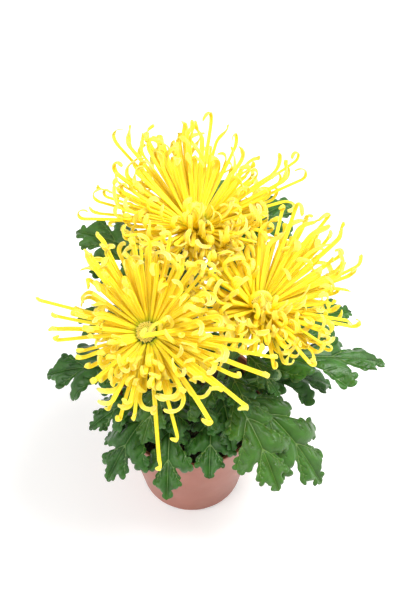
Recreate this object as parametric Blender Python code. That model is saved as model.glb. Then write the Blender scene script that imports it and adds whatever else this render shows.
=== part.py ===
"""A potted spider chrysanthemum: a plastic pot of potting mix and three leafy stems, each with one large
bloom of long hooked ray florets. Metres, +Z up. The origin is the middle of the pot's underside, and -Y is the
side of the plant that faces its viewer."""

import math
from collections import namedtuple

import bmesh
import bpy
import numpy as np
from mathutils import Matrix, Vector
from mathutils.bvhtree import BVHTree
from mathutils.geometry import delaunay_2d_cdt

MM = 0.001
UP = Vector((0, 0, 1))
SEAT_GAP = 0.3 * MM

# Pot
POT_HEIGHT = 105 * MM
POT_RIM_RADIUS = 60 * MM
POT_BASE_RADIUS = 40 * MM
POT_WALL = 1.6 * MM
POT_FLOOR = 2 * MM
POT_CORNER = 4 * MM
POT_STEPS = 32
LIP_HEIGHT = 3 * MM
LIP_STEP = 0.8 * MM
LIP_ROUND = 0.5 * MM
NOTCHES = 8
NOTCH_WIDTH = 9 * MM
NOTCH_HEIGHT = 3 * MM
NOTCH_INNER_RADIUS = 31 * MM

# Potting mix
SOIL_TOP = 93 * MM
SOIL_BUMP = 1.2 * MM
SOIL_RINGS = 5
SOIL_STEPS = 20

# Stems
STEM_FOOT_RADIUS = 3.2 * MM
STEM_NECK_RADIUS = 2.2 * MM
STEM_DEPTH = 28 * MM
STEM_SIDES = 8
HOLE_RADIUS = 3.8 * MM
HOLE_SIDES = 10

# Leaves
BLADE_THICKNESS = 0.8 * MM
PETIOLE_SHARE = 0.2
PETIOLE_RADIUS = 1.5 * MM
PETIOLE_SIDES = 3
BUD_SIDES = 6
FOLD_DEGREES = 12
CURL = 0.35
WAVE = 0.035
HALF_OUTLINE = (
    (0.14, 0.13), (0.26, 0.25), (0.28, 0.34), (0.21, 0.39), (0.09, 0.39), (0.21, 0.47), (0.32, 0.56),
    (0.34, 0.66), (0.26, 0.70), (0.11, 0.65), (0.18, 0.76), (0.18, 0.85), (0.09, 0.87), (0.07, 0.95),
)
SMALL_OUTLINE = ((0.10, 0.16), (0.22, 0.38), (0.11, 0.48), (0.20, 0.66), (0.08, 0.84))

# Blooms
CUP_PROFILE = ((2.0, -18), (3.2, -15), (7.0, -10.5), (8.8, -7.2), (8.6, -5.2))
RECEPTACLE_PROFILE = ((8.6, -4.9), (9.3, -2.0), (8.6, 1.6))
DISC_RADIUS = 6.9 * MM
DISC_HEIGHT = 3.6 * MM
DISC_BASE = 1.9 * MM
DISC_RINGS = 4
DISC_STEPS = 16
CUP_SIDES = 10
PETAL_SIDES = 3
PETAL_STEPS = 60
PETAL_BODY = (0, 0.5, 1)
PETAL_HOOK = (0.35, 0.6, 0.8, 1)
PETAL_ROOT_RADIUS = 0.95 * MM
PETAL_MIDDLE_RADIUS = 1.35 * MM
PETAL_HOOK_RADIUS = 2.0 * MM
PETAL_TIP_RADIUS = 1.3 * MM
TIGHTEST_HOOK = 3.2 * MM
ROOT_INNER_RADIUS = 6.5 * MM
ROOT_GAP = 0.5 * MM
STEEPEST = 80
CROWDED_SHARE = 0.2
CLEARANCE = 0.5 * MM

Stem = namedtuple("Stem", "foot bloom axis")
Leaf = namedtuple("Leaf", "start tip arch width twist outline", defaults=(HALF_OUTLINE,))
Bud = namedtuple("Bud", "start place radius")
Petal = namedtuple("Petal", "azimuth lift length hook curl sway droop bow root")
Tier = namedtuple("Tier", "count lift length hook bow root spread")

# Feet and bloom centres in millimetres, and the way each bloom faces.
STEMS = {
    "left": Stem((-14, -8), (-30, -29, 235), (-0.25, -0.42, 0.87)),
    "right": Stem((16, -6), (51, -5, 235), (0.30, 0.00, 0.95)),
    "back": Stem((0, 18), (4, 55, 255), (-0.02, 0.20, 0.98)),
}

# Each leaf: the height at which it leaves its stem and the place of its tip, in millimetres, then how far its
# midrib arches over the straight line as a share of it, its width as a share of the usual, and its twist.
LEAVES = {
    "left": (
        Leaf(140, (-113, 12, 122), 0.16, 0.95, -10),
        Leaf(120, (-64, -70, 98), 0.24, 1.1, 15),
        Leaf(116, (-18, -86, 97), 0.22, 0.86, 0),
        Leaf(124, (-8, -54, 126), 0.2, 1.3, 0),
        Leaf(150, (20, -52, 142), 0.20, 0.9, -15),
        Leaf(165, (-88, 42, 165), 0.16, 0.9, 10),
        Leaf(128, (-60, 62, 120), 0.2, 0.95, 0),
        Leaf(185, (-72, -34, 178), 0.12, 0.8, 0),
        Leaf(136, (12, 26, 150), 0.16, 1.0, 0),
        Leaf(126, (-78, -36, 118), 0.2, 0.9, 0),
        Leaf(150, (-36, -62, 138), 0.2, 0.8, 0),
        Leaf(203, (-66, -4, 200), 0.14, 0.9, 0, SMALL_OUTLINE),
        Leaf(212, (-6, -2, 214), 0.14, 0.8, 0, SMALL_OUTLINE),
    ),
    "right": (
        Leaf(150, (151, 10, 140), 0.12, 0.8, -20),
        Leaf(165, (126, 52, 152), 0.12, 0.8, 10),
        Leaf(138, (67, -80, 100), 0.22, 0.95, 0),
        Leaf(122, (102, -58, 74), 0.3, 0.95, 0),
        Leaf(112, (14, -74, 108), 0.2, 1.1, 0),
        Leaf(136, (32, -58, 130), 0.2, 1.1, 0),
        Leaf(116, (112, 18, 98), 0.25, 0.9, 0),
        Leaf(185, (66, -42, 172), 0.14, 0.7, 0),
        Leaf(146, (10, -46, 146), 0.18, 1.0, 10),
        Leaf(158, (44, -50, 158), 0.16, 0.9, 0),
        Leaf(132, (32, 50, 142), 0.16, 1.0, 0),
        Leaf(206, (78, 18, 202), 0.14, 0.9, 0, SMALL_OUTLINE),
        Leaf(213, (36, 26, 214), 0.14, 0.8, 0, SMALL_OUTLINE),
    ),
    "back": (
        Leaf(190, (-90, 100, 192), 0.14, 0.85, -10),
        Leaf(170, (-82, 84, 168), 0.12, 0.75, 20),
        Leaf(200, (80, 124, 200), 0.14, 0.85, 0),
        Leaf(180, (66, 92, 186), 0.12, 0.6, 0),
        Leaf(205, (32, 144, 198), 0.14, 0.8, 0),
        Leaf(150, (-28, 140, 130), 0.2, 1.0, 0),
        Leaf(130, (72, 112, 108), 0.22, 1.0, 0),
        Leaf(116, (-46, 104, 82), 0.3, 0.9, 0),
        Leaf(224, (-34, 60, 222), 0.14, 0.9, 0, SMALL_OUTLINE),
        Leaf(230, (34, 76, 228), 0.14, 0.8, 0, SMALL_OUTLINE),
    ),
}

BUDS = {"right": (Bud(140, (64, -18, 166), 4.0), Bud(136, (53, -22, 168), 3.4), Bud(160, (47, 8, 190), 3.2))}

# The florets that stand out of each bloom: direction round the bloom and lift above its face in degrees, length in
# millimetres, the turn of the hook and its length, its sideways turn, the fall under the floret's own weight as a
# share, the bend along its length, and the height of its root.
LONG_PETALS = {
    "left": (
        Petal(160, 8, 88, 150, 16, 20, 0.05, 0, -1), Petal(167, 2, 78, 190, 18, -20, 0.05, 8, -1),
        Petal(276, 0, 86, 150, 14, 50, 0.34, 0, -2), Petal(289, 6, 75, 190, 14, 30, 0.32, 0, -2),
        Petal(309, 8, 86, 220, 18, 20, 0.18, 0, -2), Petal(327, 14, 102, 140, 20, 30, 0.22, 0, -1),
        Petal(347, 10, 106, 150, 16, 20, 0.05, 0, -1), Petal(340, 8, 101, 170, 14, -20, 0.08, 0, -1),
        Petal(112, 22, 76, 120, 22, 10, 0.0, 10, 0), Petal(250, 6, 64, 210, 16, 30, 0.3, 0, -2),
        Petal(262, 10, 60, 220, 14, -20, 0.3, 0, -1), Petal(352, 26, 62, 200, 18, 20, 0.0, 10, 0),
        Petal(175, 10, 74, 200, 16, -10, 0.05, 0, -1),
    ),
    "right": (
        Petal(24, 16, 82, 190, 20, 30, 0.0, 0, 0), Petal(352, 10, 76, 170, 16, 20, 0.05, 0, -1),
        Petal(332, 6, 61, 200, 14, 20, 0.15, 0, -2), Petal(57, 36, 94, 220, 26, -20, 0.0, 0, 1),
        Petal(213, -3, 107, 110, 12, 20, 0.04, 37, 1), Petal(282, 4, 52, 230, 14, 0, 0.3, 0, -2),
        Petal(78, 44, 88, 200, 24, 30, 0.0, 0, 1), Petal(37, 22, 80, 190, 20, -20, 0.0, 0, 0),
        Petal(312, 6, 60, 210, 14, 20, 0.2, 0, -2),
    ),
    "back": (
        Petal(80, 34, 95, 200, 26, -20, 0.0, 0, 1), Petal(60, 30, 83, 210, 24, 20, 0.0, 0, 1),
        Petal(27, 18, 100, 220, 20, 30, 0.0, 8, 0), Petal(20, 12, 96, 210, 18, -20, 0.0, 8, -1),
        Petal(138, 26, 100, 160, 24, 30, 0.0, 0, 0), Petal(151, 20, 82, 190, 20, -20, 0.0, 8, 0),
        Petal(182, 10, 91, 220, 16, 0, 0.05, 0, -1), Petal(171, 12, 83, 190, 18, 30, 0.0, 0, -1),
        Petal(104, 36, 76, 200, 26, 40, 0.0, 8, 1), Petal(100, 44, 70, 220, 22, -20, 0.0, 8, 1),
        Petal(118, 34, 90, 240, 34, -30, 0.0, 0, 0),
    ),
}

# The tiers of florets, outermost first: count, lift, length in millimetres, hook, bend, height of the roots and
# spread of the lift.
TIERS = {
    "left": (
        Tier(14, 2, 66, 195, 0, -3.2, 7), Tier(12, 15, 64, 205, 4, -1.5, 5), Tier(11, 27, 60, 210, 6, 0, 5),
        Tier(9, 38, 54, 215, 6, 1.2, 4),
    ),
    "right": (
        Tier(13, 2, 64, 195, 0, -3.2, 7), Tier(13, 18, 64, 205, 4, -1.5, 6), Tier(12, 34, 62, 210, 6, 0, 5),
        Tier(8, 50, 58, 210, 6, 1.2, 5),
    ),
    "back": (
        Tier(13, 2, 66, 195, 0, -3.2, 7), Tier(13, 18, 66, 205, 4, -1.5, 6), Tier(12, 34, 64, 210, 6, 0, 5),
        Tier(8, 50, 60, 210, 6, 1.2, 5),
    ),
}
# The florets on the viewer's side open wider than those on the far side, by this many degrees at most, and are
# shorter, by this share at most.
FRONT_DROP = 20
FRONT_SHORTENING = 0.25
SEEDS = {"left": 11, "right": 23, "back": 37}

# A floret that would run into its neighbours is tried a little aside, higher or shorter, in this order:
# degrees round the bloom, degrees of lift, share of the length.
NUDGES = (
    (0, 0, 1), (3, 0, 1), (-3, 0, 1), (0, -4, 1), (6, 0, 1), (-6, 0, 1), (0, 5, 1), (9, 0, 1), (-9, 0, 1),
    (5, 5, 1), (-5, 5, 1), (5, -5, 1), (-5, -5, 1), (0, 10, 0.97), (8, 8, 0.95), (-8, 8, 0.95), (0, 16, 0.92),
    (12, 4, 0.9), (-12, 4, 0.9), (10, 14, 0.9), (-10, 14, 0.9), (0, 0, 0.8), (0, 24, 0.85), (0, 34, 0.75),
)

# The same for a leaf's tip: degrees round the pot, millimetres up, share of the distance from the middle.
LEAF_MOVES = (
    (0, 0, 1), (5, 0, 1), (-5, 0, 1), (0, 8, 1), (0, -8, 1), (6, 8, 1), (-6, 8, 1), (10, 0, 1), (-10, 0, 1),
    (0, 16, 1), (10, 14, 0.95), (-10, 14, 0.95), (0, 0, 0.85), (14, 8, 0.9), (-14, 8, 0.9), (0, 24, 0.9),
    (20, 10, 0.9), (-20, 10, 0.9), (0, -16, 0.9), (0, 30, 0.8),
)

MATERIALS = {
    "pot_plastic": ((0.46, 0.17, 0.11), 0.45),
    "soil": ((0.03, 0.02, 0.015), 0.95),
    "foliage": ((0.04, 0.12, 0.03), 0.5),
    "rays": ((0.95, 0.75, 0.0), 0.45),
    "disc": ((0.70, 0.62, 0.10), 0.7),
}


def material(name):
    made = bpy.data.materials.get(name)
    if made is None:
        colour, roughness = MATERIALS[name]
        made = bpy.data.materials.new(name)
        made.use_nodes = True
        surface = made.node_tree.nodes["Principled BSDF"]
        surface.inputs["Base Color"].default_value = (*colour, 1)
        surface.inputs["Roughness"].default_value = roughness
        made.diffuse_color = (*colour, 1)
    return made


def add_object(name, shape, finish, smooth=True):
    """An object made from (points, faces)."""
    points, faces = shape
    mesh = bpy.data.meshes.new(name)
    mesh.from_pydata([tuple(p) for p in points], [], faces)
    if smooth:
        mesh.shade_smooth()
        mesh.set_sharp_from_angle(angle=math.radians(50))
    mesh.materials.append(material(finish))
    made = bpy.data.objects.new(name, mesh)
    bpy.context.scene.collection.objects.link(made)
    return made


def turned(name, profile, steps, finish):
    """A solid turned round the Z axis from (radius, height) points that start and end on the axis."""
    builder = bmesh.new()
    corners = [builder.verts.new((r, 0, z)) for r, z in profile]
    edges = [builder.edges.new(pair) for pair in zip(corners, corners[1:])]
    bmesh.ops.spin(
        builder, geom=corners + edges, cent=(0, 0, 0), axis=(0, 0, 1), angle=math.tau, steps=steps, use_merge=True
    )
    bmesh.ops.remove_doubles(builder, verts=builder.verts, dist=0.001 * MM)
    bmesh.ops.recalc_face_normals(builder, faces=builder.faces)
    mesh = bpy.data.meshes.new(name)
    builder.to_mesh(mesh)
    builder.free()
    mesh.shade_smooth()
    mesh.set_sharp_from_angle(angle=math.radians(35))
    mesh.materials.append(material(finish))
    made = bpy.data.objects.new(name, mesh)
    bpy.context.scene.collection.objects.link(made)
    return made


def hide_cutter(cutter):
    cutter.hide_render = True
    cutter.display_type = "WIRE"


def cut(target, cutter):
    hide_cutter(cutter)
    boolean = target.modifiers.new("cut", "BOOLEAN")
    boolean.operation = "DIFFERENCE"
    boolean.solver = "EXACT"
    boolean.object = cutter


def joined(target, shapes, finish):
    """Unites the loose shapes with the target object into one body."""
    repeats = bpy.data.collections.new(target.name + "_repeats")
    bpy.context.scene.collection.children.link(repeats)
    for number, shape in enumerate(shapes):
        piece = add_object(f"{target.name}_{number}", shape, finish)
        bpy.context.scene.collection.objects.unlink(piece)
        repeats.objects.link(piece)
    union = target.modifiers.new("union", "BOOLEAN")
    union.operation = "UNION"
    union.operand_type = "COLLECTION"
    union.collection = repeats
    union.solver = "MANIFOLD"
    bpy.context.view_layer.update()
    graph = bpy.context.evaluated_depsgraph_get()
    whole = bpy.data.meshes.new_from_object(target.evaluated_get(graph))
    target.modifiers.clear()
    target.data = whole
    for piece in list(repeats.objects):
        bpy.data.objects.remove(piece)
    bpy.data.collections.remove(repeats)
    return target


def tube(points, radii, sides):
    """A closed tube of many sides round a line of points, carried along without twisting."""
    points = [Vector(p) for p in points]
    ends = [points[0], *points, points[-1]]
    tangents = [(after - before).normalized() for before, after in zip(ends, ends[2:])]
    side = tangents[0].orthogonal().normalized()
    corners = []
    for i, (point, tangent, radius) in enumerate(zip(points, tangents, radii)):
        if i:
            side = tangents[i - 1].rotation_difference(tangent) @ side
        side = (side - tangent * side.dot(tangent)).normalized()
        other = tangent.cross(side)
        for k in range(sides):
            angle = math.tau * k / sides
            corners.append(point + (side * math.cos(angle) + other * math.sin(angle)) * float(radius))
    faces = [tuple(reversed(range(sides)))]
    for ring in range(len(points) - 1):
        for k in range(sides):
            a, b = ring * sides + k, ring * sides + (k + 1) % sides
            faces.append((a, b, b + sides, a + sides))
    faces.append(tuple(range((len(points) - 1) * sides, len(points) * sides)))
    return corners, faces


def tree(shapes):
    """A search tree over the faces of several shapes."""
    points, faces = [], []
    for shape_points, shape_faces in shapes:
        first = len(points)
        points.extend(shape_points)
        faces.extend(tuple(first + i for i in face) for face in shape_faces)
    return BVHTree.FromPolygons(points, faces)


# Pot and potting mix


def wall_radius(height):
    """Outer radius of the pot's tapered wall."""
    return POT_BASE_RADIUS + (POT_RIM_RADIUS - LIP_STEP - POT_BASE_RADIUS) * height / POT_HEIGHT


def make_pot():
    corner = [
        (
            wall_radius(POT_CORNER) - POT_CORNER * (1 - math.sin(angle)),
            POT_CORNER * (1 - math.cos(angle)),
        )
        for angle in (0, math.pi / 4, math.pi / 2)
    ]
    lip_foot = POT_HEIGHT - LIP_HEIGHT
    inner_top = POT_RIM_RADIUS - LIP_STEP - POT_WALL
    lip = [
        (wall_radius(lip_foot), lip_foot),
        (POT_RIM_RADIUS, lip_foot + LIP_ROUND),
        (POT_RIM_RADIUS, POT_HEIGHT - LIP_ROUND),
        (POT_RIM_RADIUS - LIP_ROUND, POT_HEIGHT),
        (inner_top + LIP_ROUND, POT_HEIGHT),
        (inner_top, POT_HEIGHT - LIP_ROUND),
    ]
    inside = [
        (wall_radius(POT_CORNER) - POT_WALL, POT_CORNER + POT_FLOOR),
        (wall_radius(POT_CORNER) - POT_WALL - POT_CORNER, POT_FLOOR),
    ]
    pot = turned("pot", [(0, 0), *corner, *lip, *inside, (0, POT_FLOOR)], POT_STEPS, "pot_plastic")
    points, faces = [], []
    for number in range(NOTCHES):
        turn = Matrix.Rotation(math.tau * (number + 0.5) / NOTCHES, 3, "Z")
        first = len(points)
        for x in (NOTCH_INNER_RADIUS, POT_RIM_RADIUS):
            for y in (-NOTCH_WIDTH / 2, NOTCH_WIDTH / 2):
                for z in (-NOTCH_HEIGHT, NOTCH_HEIGHT):
                    points.append(turn @ Vector((x, y, z)))
        box = ((0, 1, 3, 2), (4, 6, 7, 5), (0, 4, 5, 1), (2, 3, 7, 6), (0, 2, 6, 4), (1, 5, 7, 3))
        faces.extend(tuple(first + i for i in face) for face in box)
    cut(pot, add_object("drain_notch_cutters", (points, faces), "pot_plastic", smooth=False))


def make_soil():
    """The mix fills the pot to below its rim, with a lumpy top and a plain hole for each stem."""
    rim = wall_radius(SOIL_TOP) - POT_WALL - SEAT_GAP
    points, faces = [Vector((0, 0, SOIL_TOP))], []
    for ring in range(1, SOIL_RINGS + 1):
        for step in range(SOIL_STEPS):
            angle = math.tau * step / SOIL_STEPS
            x, y = (rim * ring / SOIL_RINGS * turn(angle) for turn in (math.cos, math.sin))
            bump = math.sin(310 * x + 1) * math.cos(270 * y) + 0.6 * math.sin(520 * (x - y))
            points.append(Vector((x, y, SOIL_TOP + SOIL_BUMP * bump * (ring < SOIL_RINGS))))
    low_edges = (
        (wall_radius(POT_CORNER) - POT_WALL - 2 * SEAT_GAP, POT_CORNER + POT_FLOOR + SEAT_GAP),
        (wall_radius(POT_CORNER) - POT_WALL - POT_CORNER - SEAT_GAP, POT_FLOOR + SEAT_GAP),
    )
    for radius, height in low_edges:
        for step in range(SOIL_STEPS):
            angle = math.tau * step / SOIL_STEPS
            points.append(Vector((radius * math.cos(angle), radius * math.sin(angle), height)))
    points.append(Vector((0, 0, POT_FLOOR + SEAT_GAP)))
    rings = SOIL_RINGS + len(low_edges)
    for step in range(SOIL_STEPS):
        following = (step + 1) % SOIL_STEPS
        faces.append((0, 1 + step, 1 + following))
        for ring in range(rings - 1):
            a, b = 1 + ring * SOIL_STEPS + step, 1 + ring * SOIL_STEPS + following
            faces.append((a, a + SOIL_STEPS, b + SOIL_STEPS))
            faces.append((a, b + SOIL_STEPS, b))
        last = 1 + (rings - 1) * SOIL_STEPS
        faces.append((last + step, len(points) - 1, last + following))
    soil = add_object("soil", (points, faces), "soil")
    holes = []
    for stem in STEMS.values():
        x, y = (value * MM for value in stem.foot)
        ends = [(x, y, SOIL_TOP - STEM_DEPTH - SEAT_GAP), (x, y, SOIL_TOP + STEM_DEPTH)]
        holes.append(tube(ends, [HOLE_RADIUS] * len(ends), HOLE_SIDES))
    points, faces = [], []
    for hole_points, hole_faces in holes:
        first = len(points)
        points.extend(hole_points)
        faces.extend(tuple(first + i for i in face) for face in hole_faces)
    cut(soil, add_object("stem_hole_cutters", (points, faces), "soil", smooth=False))


# Stems and leaves


def bloom_frame(stem):
    """The centre of a bloom and its right, far and facing directions."""
    facing = Vector(stem.axis).normalized()
    right = (Vector((1, 0, 0)) - facing * facing.x).normalized()
    return Vector(stem.bloom) * MM, right, facing.cross(right), facing


def stem_line(stem):
    """Centre line of a stem, from its foot in the mix to the neck of its bloom."""
    centre, _, _, facing = bloom_frame(stem)
    foot = Vector((stem.foot[0] * MM, stem.foot[1] * MM, SOIL_TOP))
    neck = centre + facing * CUP_PROFILE[1][1] * MM
    reach = (neck - foot).length / 3
    line = [foot - UP * STEM_DEPTH]
    for share in np.linspace(0, 1, 8).tolist():
        a, b = foot + UP * reach, neck - facing * reach
        rest = 1 - share
        line.append(rest**3 * foot + 3 * rest**2 * share * a + 3 * rest * share**2 * b + share**3 * neck)
    return line


def along(line, share):
    """The point at a share of the way along a line of points."""
    lengths = np.cumsum([0] + [(b - a).length for a, b in zip(line, line[1:])])
    wanted = share * lengths[-1]
    i = int(np.clip(np.searchsorted(lengths, wanted) - 1, 0, len(line) - 2))
    return line[i].lerp(line[i + 1], (wanted - lengths[i]) / (lengths[i + 1] - lengths[i]))


def at_height(line, height):
    for a, b in zip(line, line[1:]):
        if a.z <= height <= b.z:
            return a.lerp(b, (height - a.z) / (b.z - a.z))
    return line[-1]


def leaf_midrib(line, leaf):
    """Points from the stem's middle to the leaf's tip."""
    start = at_height(line, leaf.start * MM)
    tip = Vector(leaf.tip) * MM
    crest = start.lerp(tip, 0.5) + UP * leaf.arch * (tip - start).length * 2
    shares = np.linspace(0, 1, 25).tolist()
    return [(1 - s) ** 2 * start + 2 * s * (1 - s) * crest + s * s * tip for s in shares]


def blade_point(midrib, leaf, x, y):
    """The place on the blade x lengths aside of the midrib and y lengths from its base, and the normal there."""
    share = PETIOLE_SHARE + (1 - PETIOLE_SHARE) * y
    point = along(midrib, share)
    ahead = (along(midrib, min(share + 0.02, 1)) - along(midrib, share - 0.02)).normalized()
    flat = midrib[-1] - midrib[0]
    side = Vector((flat.y, -flat.x, 0)).normalized()
    side = Matrix.Rotation(math.radians(leaf.twist) * (0.3 + 0.7 * y), 3, ahead) @ side
    normal = side.cross(ahead)
    length = (midrib[-1] - midrib[0]).length
    aside = x * length * leaf.width * (1 - PETIOLE_SHARE)
    fold = math.radians(FOLD_DEGREES)
    wave = WAVE * length * math.sin(15 * y + (2 if x > 0 else 0)) * min(abs(x) / 0.3, 1) ** 2
    rise = abs(aside) * math.sin(fold) - CURL * aside * aside / length * 4 + wave
    return point + side * aside * math.cos(fold) + normal * rise, normal


def blade(midrib, leaf, extra=0.0):
    """A closed thin blade with the same triangles on both faces."""
    edge = [(0, 0), *leaf.outline, (0, 1), *[(-x, y) for x, y in reversed(leaf.outline)]]
    inner = [(0, y) for y in np.linspace(0, 1, len(leaf.outline) // 2 + 1)[1:-1]]
    flat = [Vector(p) for p in [*edge, *inner]]
    border = [(i, (i + 1) % len(edge)) for i in range(len(edge))]
    rib = [0, *range(len(edge), len(flat)), len(leaf.outline) + 1]
    found = delaunay_2d_cdt(flat, border + list(zip(rib, rib[1:])), [], 1, 1e-6)
    count = len(found[0])
    both = [blade_point(midrib, leaf, p.x, p.y) for p in found[0]]
    half = BLADE_THICKNESS / 2 + extra
    points = [p + n * half for p, n in both] + [p - n * half for p, n in both]
    top = [tuple(face) for face in found[2]]
    used = {}
    for face in top:
        for a, b in zip(face, face[1:] + face[:1]):
            used[(a, b)] = True
    walls = [(b, a, a + count, b + count) for a, b in used if (b, a) not in used]
    upright = [tuple(reversed([i + count for i in face])) for face in top]
    split = [tri for a, b, c, d in walls for tri in ((a, b, c), (a, c, d))]
    faces = top + upright + split
    return points, faces


def petiole(midrib, extra=0.0):
    """The leaf's stalk, from inside the stem to the middle of the blade's base."""
    shares = (0, 0.5 * PETIOLE_SHARE, PETIOLE_SHARE, 1.9 * PETIOLE_SHARE)
    radii = [PETIOLE_RADIUS * share + extra for share in (1, 1, 0.8, 0.4)]
    return tube([along(midrib, share) for share in shares], radii, PETIOLE_SIDES)


def round_bud(place, radius, facing):
    shares = (-0.95, -0.55, 0, 0.55, 0.95)
    points = [place + facing * radius * s for s in shares]
    return tube(points, [radius * max(math.sqrt(1 - s * s), 0.3) for s in shares], BUD_SIDES)


def profile_tube(stem, profile, sides):
    """A turned shape round a bloom's axis from (radius, height) pairs in millimetres."""
    centre, _, _, facing = bloom_frame(stem)
    points = [centre + facing * height * MM for _, height in profile]
    return tube(points, [radius * MM for radius, _ in profile], sides)


def bare_stem(name):
    """One stem with its cup and buds."""
    stem = STEMS[name]
    line = stem_line(stem)
    radii = np.interp(np.linspace(0, 1, len(line)), (0, 1), (STEM_FOOT_RADIUS, STEM_NECK_RADIUS))
    shapes = [tube(line, radii, STEM_SIDES), profile_tube(stem, CUP_PROFILE, CUP_SIDES)]
    for bud in BUDS.get(name, ()):
        start, place = at_height(line, bud.start * MM), Vector(bud.place) * MM
        middle = start.lerp(place, 0.6) - UP * 4 * MM
        shapes.append(tube([start, middle, place], [PETIOLE_RADIUS] * 3, PETIOLE_SIDES))
        shapes.append(round_bud(place, bud.radius * MM, (place - middle).normalized()))
    return shapes


def moved_leaf(leaf, move):
    """The leaf with its tip swung round the pot in degrees, raised in millimetres and drawn in by a share."""
    turn, rise, share = move
    tip = Matrix.Rotation(math.radians(turn), 3, "Z") @ Vector(leaf.tip)
    return leaf._replace(tip=(tip.x * share, tip.y * share, tip.z + rise))


def place_leaves(shapes, blockers):
    """Adds the leaves to the bare stems, each bent clear of the blockers and of the other stems and their leaves,
    and where it can be of its own stem's leaves. A leaf that nowhere clears the others is left out."""
    own_leaves = {name: [] for name in STEMS}
    bare = {name: tree(found) for name, found in shapes.items()}
    for name, leaves in LEAVES.items():
        line = stem_line(STEMS[name])
        for leaf in leaves:
            others = [bare[other] for other in STEMS if other != name]
            others += [found for other in STEMS if other != name for found in own_leaves[other]]
            others += blockers
            fallback = None
            for move in LEAF_MOVES:
                midrib = leaf_midrib(line, moved_leaf(leaf, move))
                tried = [blade(midrib, leaf), petiole(midrib)]
                fat = tree([blade(midrib, leaf, CLEARANCE), petiole(midrib, CLEARANCE)])
                if any(fat.overlap(other) for other in others):
                    continue
                if fallback is None:
                    fallback = tried
                blades = tree([blade(midrib, leaf, CLEARANCE)])
                if not any(blades.overlap(own) for own in own_leaves[name]):
                    fallback = tried
                    break
            if fallback is not None:
                shapes[name] += fallback
                own_leaves[name].append(tree(fallback))


# Blooms


def hook_share(petal):
    """The share of a floret's length that its hook takes, never turning more tightly than it can."""
    tightest = math.radians(petal.hook) * TIGHTEST_HOOK
    return max(petal.curl * MM, tightest) / (petal.length * MM)


def petal_line(stem, petal, stations):
    """Centre line of a ray floret: out of the receptacle, along, and round its hook."""
    centre, right, far, facing = bloom_frame(stem)
    step = petal.length * MM / PETAL_STEPS
    hook_start = 1 - hook_share(petal)
    azimuth = math.radians(petal.azimuth)
    steep = math.radians(max(petal.lift, 1))
    past_disc = DISC_RADIUS + ROOT_GAP + PETAL_ROOT_RADIUS / math.sin(steep)
    past_disc -= (DISC_BASE - petal.root * MM) / math.tan(steep)
    place = centre + facing * petal.root * MM
    place += (right * math.cos(azimuth) + far * math.sin(azimuth)) * max(ROOT_INNER_RADIUS, past_disc)
    line = [place]
    for i in range(PETAL_STEPS):
        share = (i + 0.5) / PETAL_STEPS
        bent = max(0.0, share - hook_start) / (1 - hook_start)
        turn = math.radians(petal.lift + petal.bow * share * share + petal.hook * bent**1.2)
        round_about = azimuth + math.radians(petal.sway) * bent
        out = right * math.cos(round_about) + far * math.sin(round_about)
        line.append(line[-1] + (out * math.cos(turn) + facing * math.sin(turn)) * step)
    fall = petal.droop * petal.length * MM
    fallen = [p - UP * fall * (i / PETAL_STEPS) ** 2 for i, p in enumerate(line)]
    return [fallen[round(station * PETAL_STEPS)] for station in stations]


def petal_stations(petal):
    """Shares of the length at which a floret has its rings: few along its body, closer in its hook."""
    hook = hook_share(petal)
    return [share * (1 - hook) for share in PETAL_BODY] + [1 - hook + share * hook for share in PETAL_HOOK]


def petal_tube(stem, petal, extra=0.0, begin=0.0):
    """A ray floret: thin at its root, wider along its length and widest in its hook."""
    stations = [begin, *petal_stations(petal)[1:]]
    hook_start = 1 - hook_share(petal)
    radii = np.interp(
        stations,
        (0, hook_start, (1 + hook_start) / 2, 1),
        (PETAL_ROOT_RADIUS, PETAL_MIDDLE_RADIUS, PETAL_HOOK_RADIUS, PETAL_TIP_RADIUS),
    )
    return tube(petal_line(stem, petal, stations), [r + extra for r in radii], PETAL_SIDES)


def tier_petals(name):
    """The florets of the tiers, spread evenly round the bloom with small random changes."""
    draw = np.random.default_rng(SEEDS[name])
    petals = []
    for number, tier in enumerate(TIERS[name]):
        for i in range(tier.count):
            azimuth = 360 * (i + 0.5 * (number % 2)) / tier.count + draw.normal(0, 2.5)
            front = max(0.0, -math.sin(math.radians(azimuth)))
            lift = max(tier.lift - FRONT_DROP * front, min(tier.lift, 0)) + draw.normal(0, tier.spread)
            length = tier.length * (1 - FRONT_SHORTENING * front) * (1 + draw.normal(0, 0.07))
            hook = tier.hook + draw.normal(0, 30)
            curl, sway, bow = draw.uniform(12, 24), draw.normal(0, 30), tier.bow + draw.normal(0, 10)
            petals.append(Petal(azimuth, lift, length, hook, curl, sway, 0.06, bow, tier.root))
    return petals


def nudged(petal, nudge):
    aside, lift, share = nudge
    raised = min(petal.lift + lift, STEEPEST)
    return petal._replace(azimuth=petal.azimuth + aside, lift=raised, length=petal.length * share)


def place_petals(obstacles):
    """Sets the florets of all blooms one by one, each bent clear of the obstacles and of the other blooms, and of
    its own bloom's florets where it can be. A floret that nowhere clears the other blooms is left out."""
    placed = {name: [] for name in STEMS}
    trees = {name: [] for name in STEMS}
    waiting = [(name, petal) for name in STEMS for petal in LONG_PETALS[name]]
    waiting += [(name, petal) for name in STEMS for petal in tier_petals(name)]
    for name, petal in waiting:
        others = [found for other in STEMS if other != name for found in trees[other]] + [obstacles]
        fallback = None
        for nudge in NUDGES:
            tried = nudged(petal, nudge)
            fat = petal_room(STEMS[name], tried)
            if any(fat.overlap(other) for other in others):
                continue
            if fallback is None:
                fallback = tried
            if not any(fat.overlap(own) for own in trees[name]):
                fallback = tried
                break
        if fallback is not None:
            placed[name].append(fallback)
            trees[name].append(petal_room(STEMS[name], fallback))
    return placed


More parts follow.
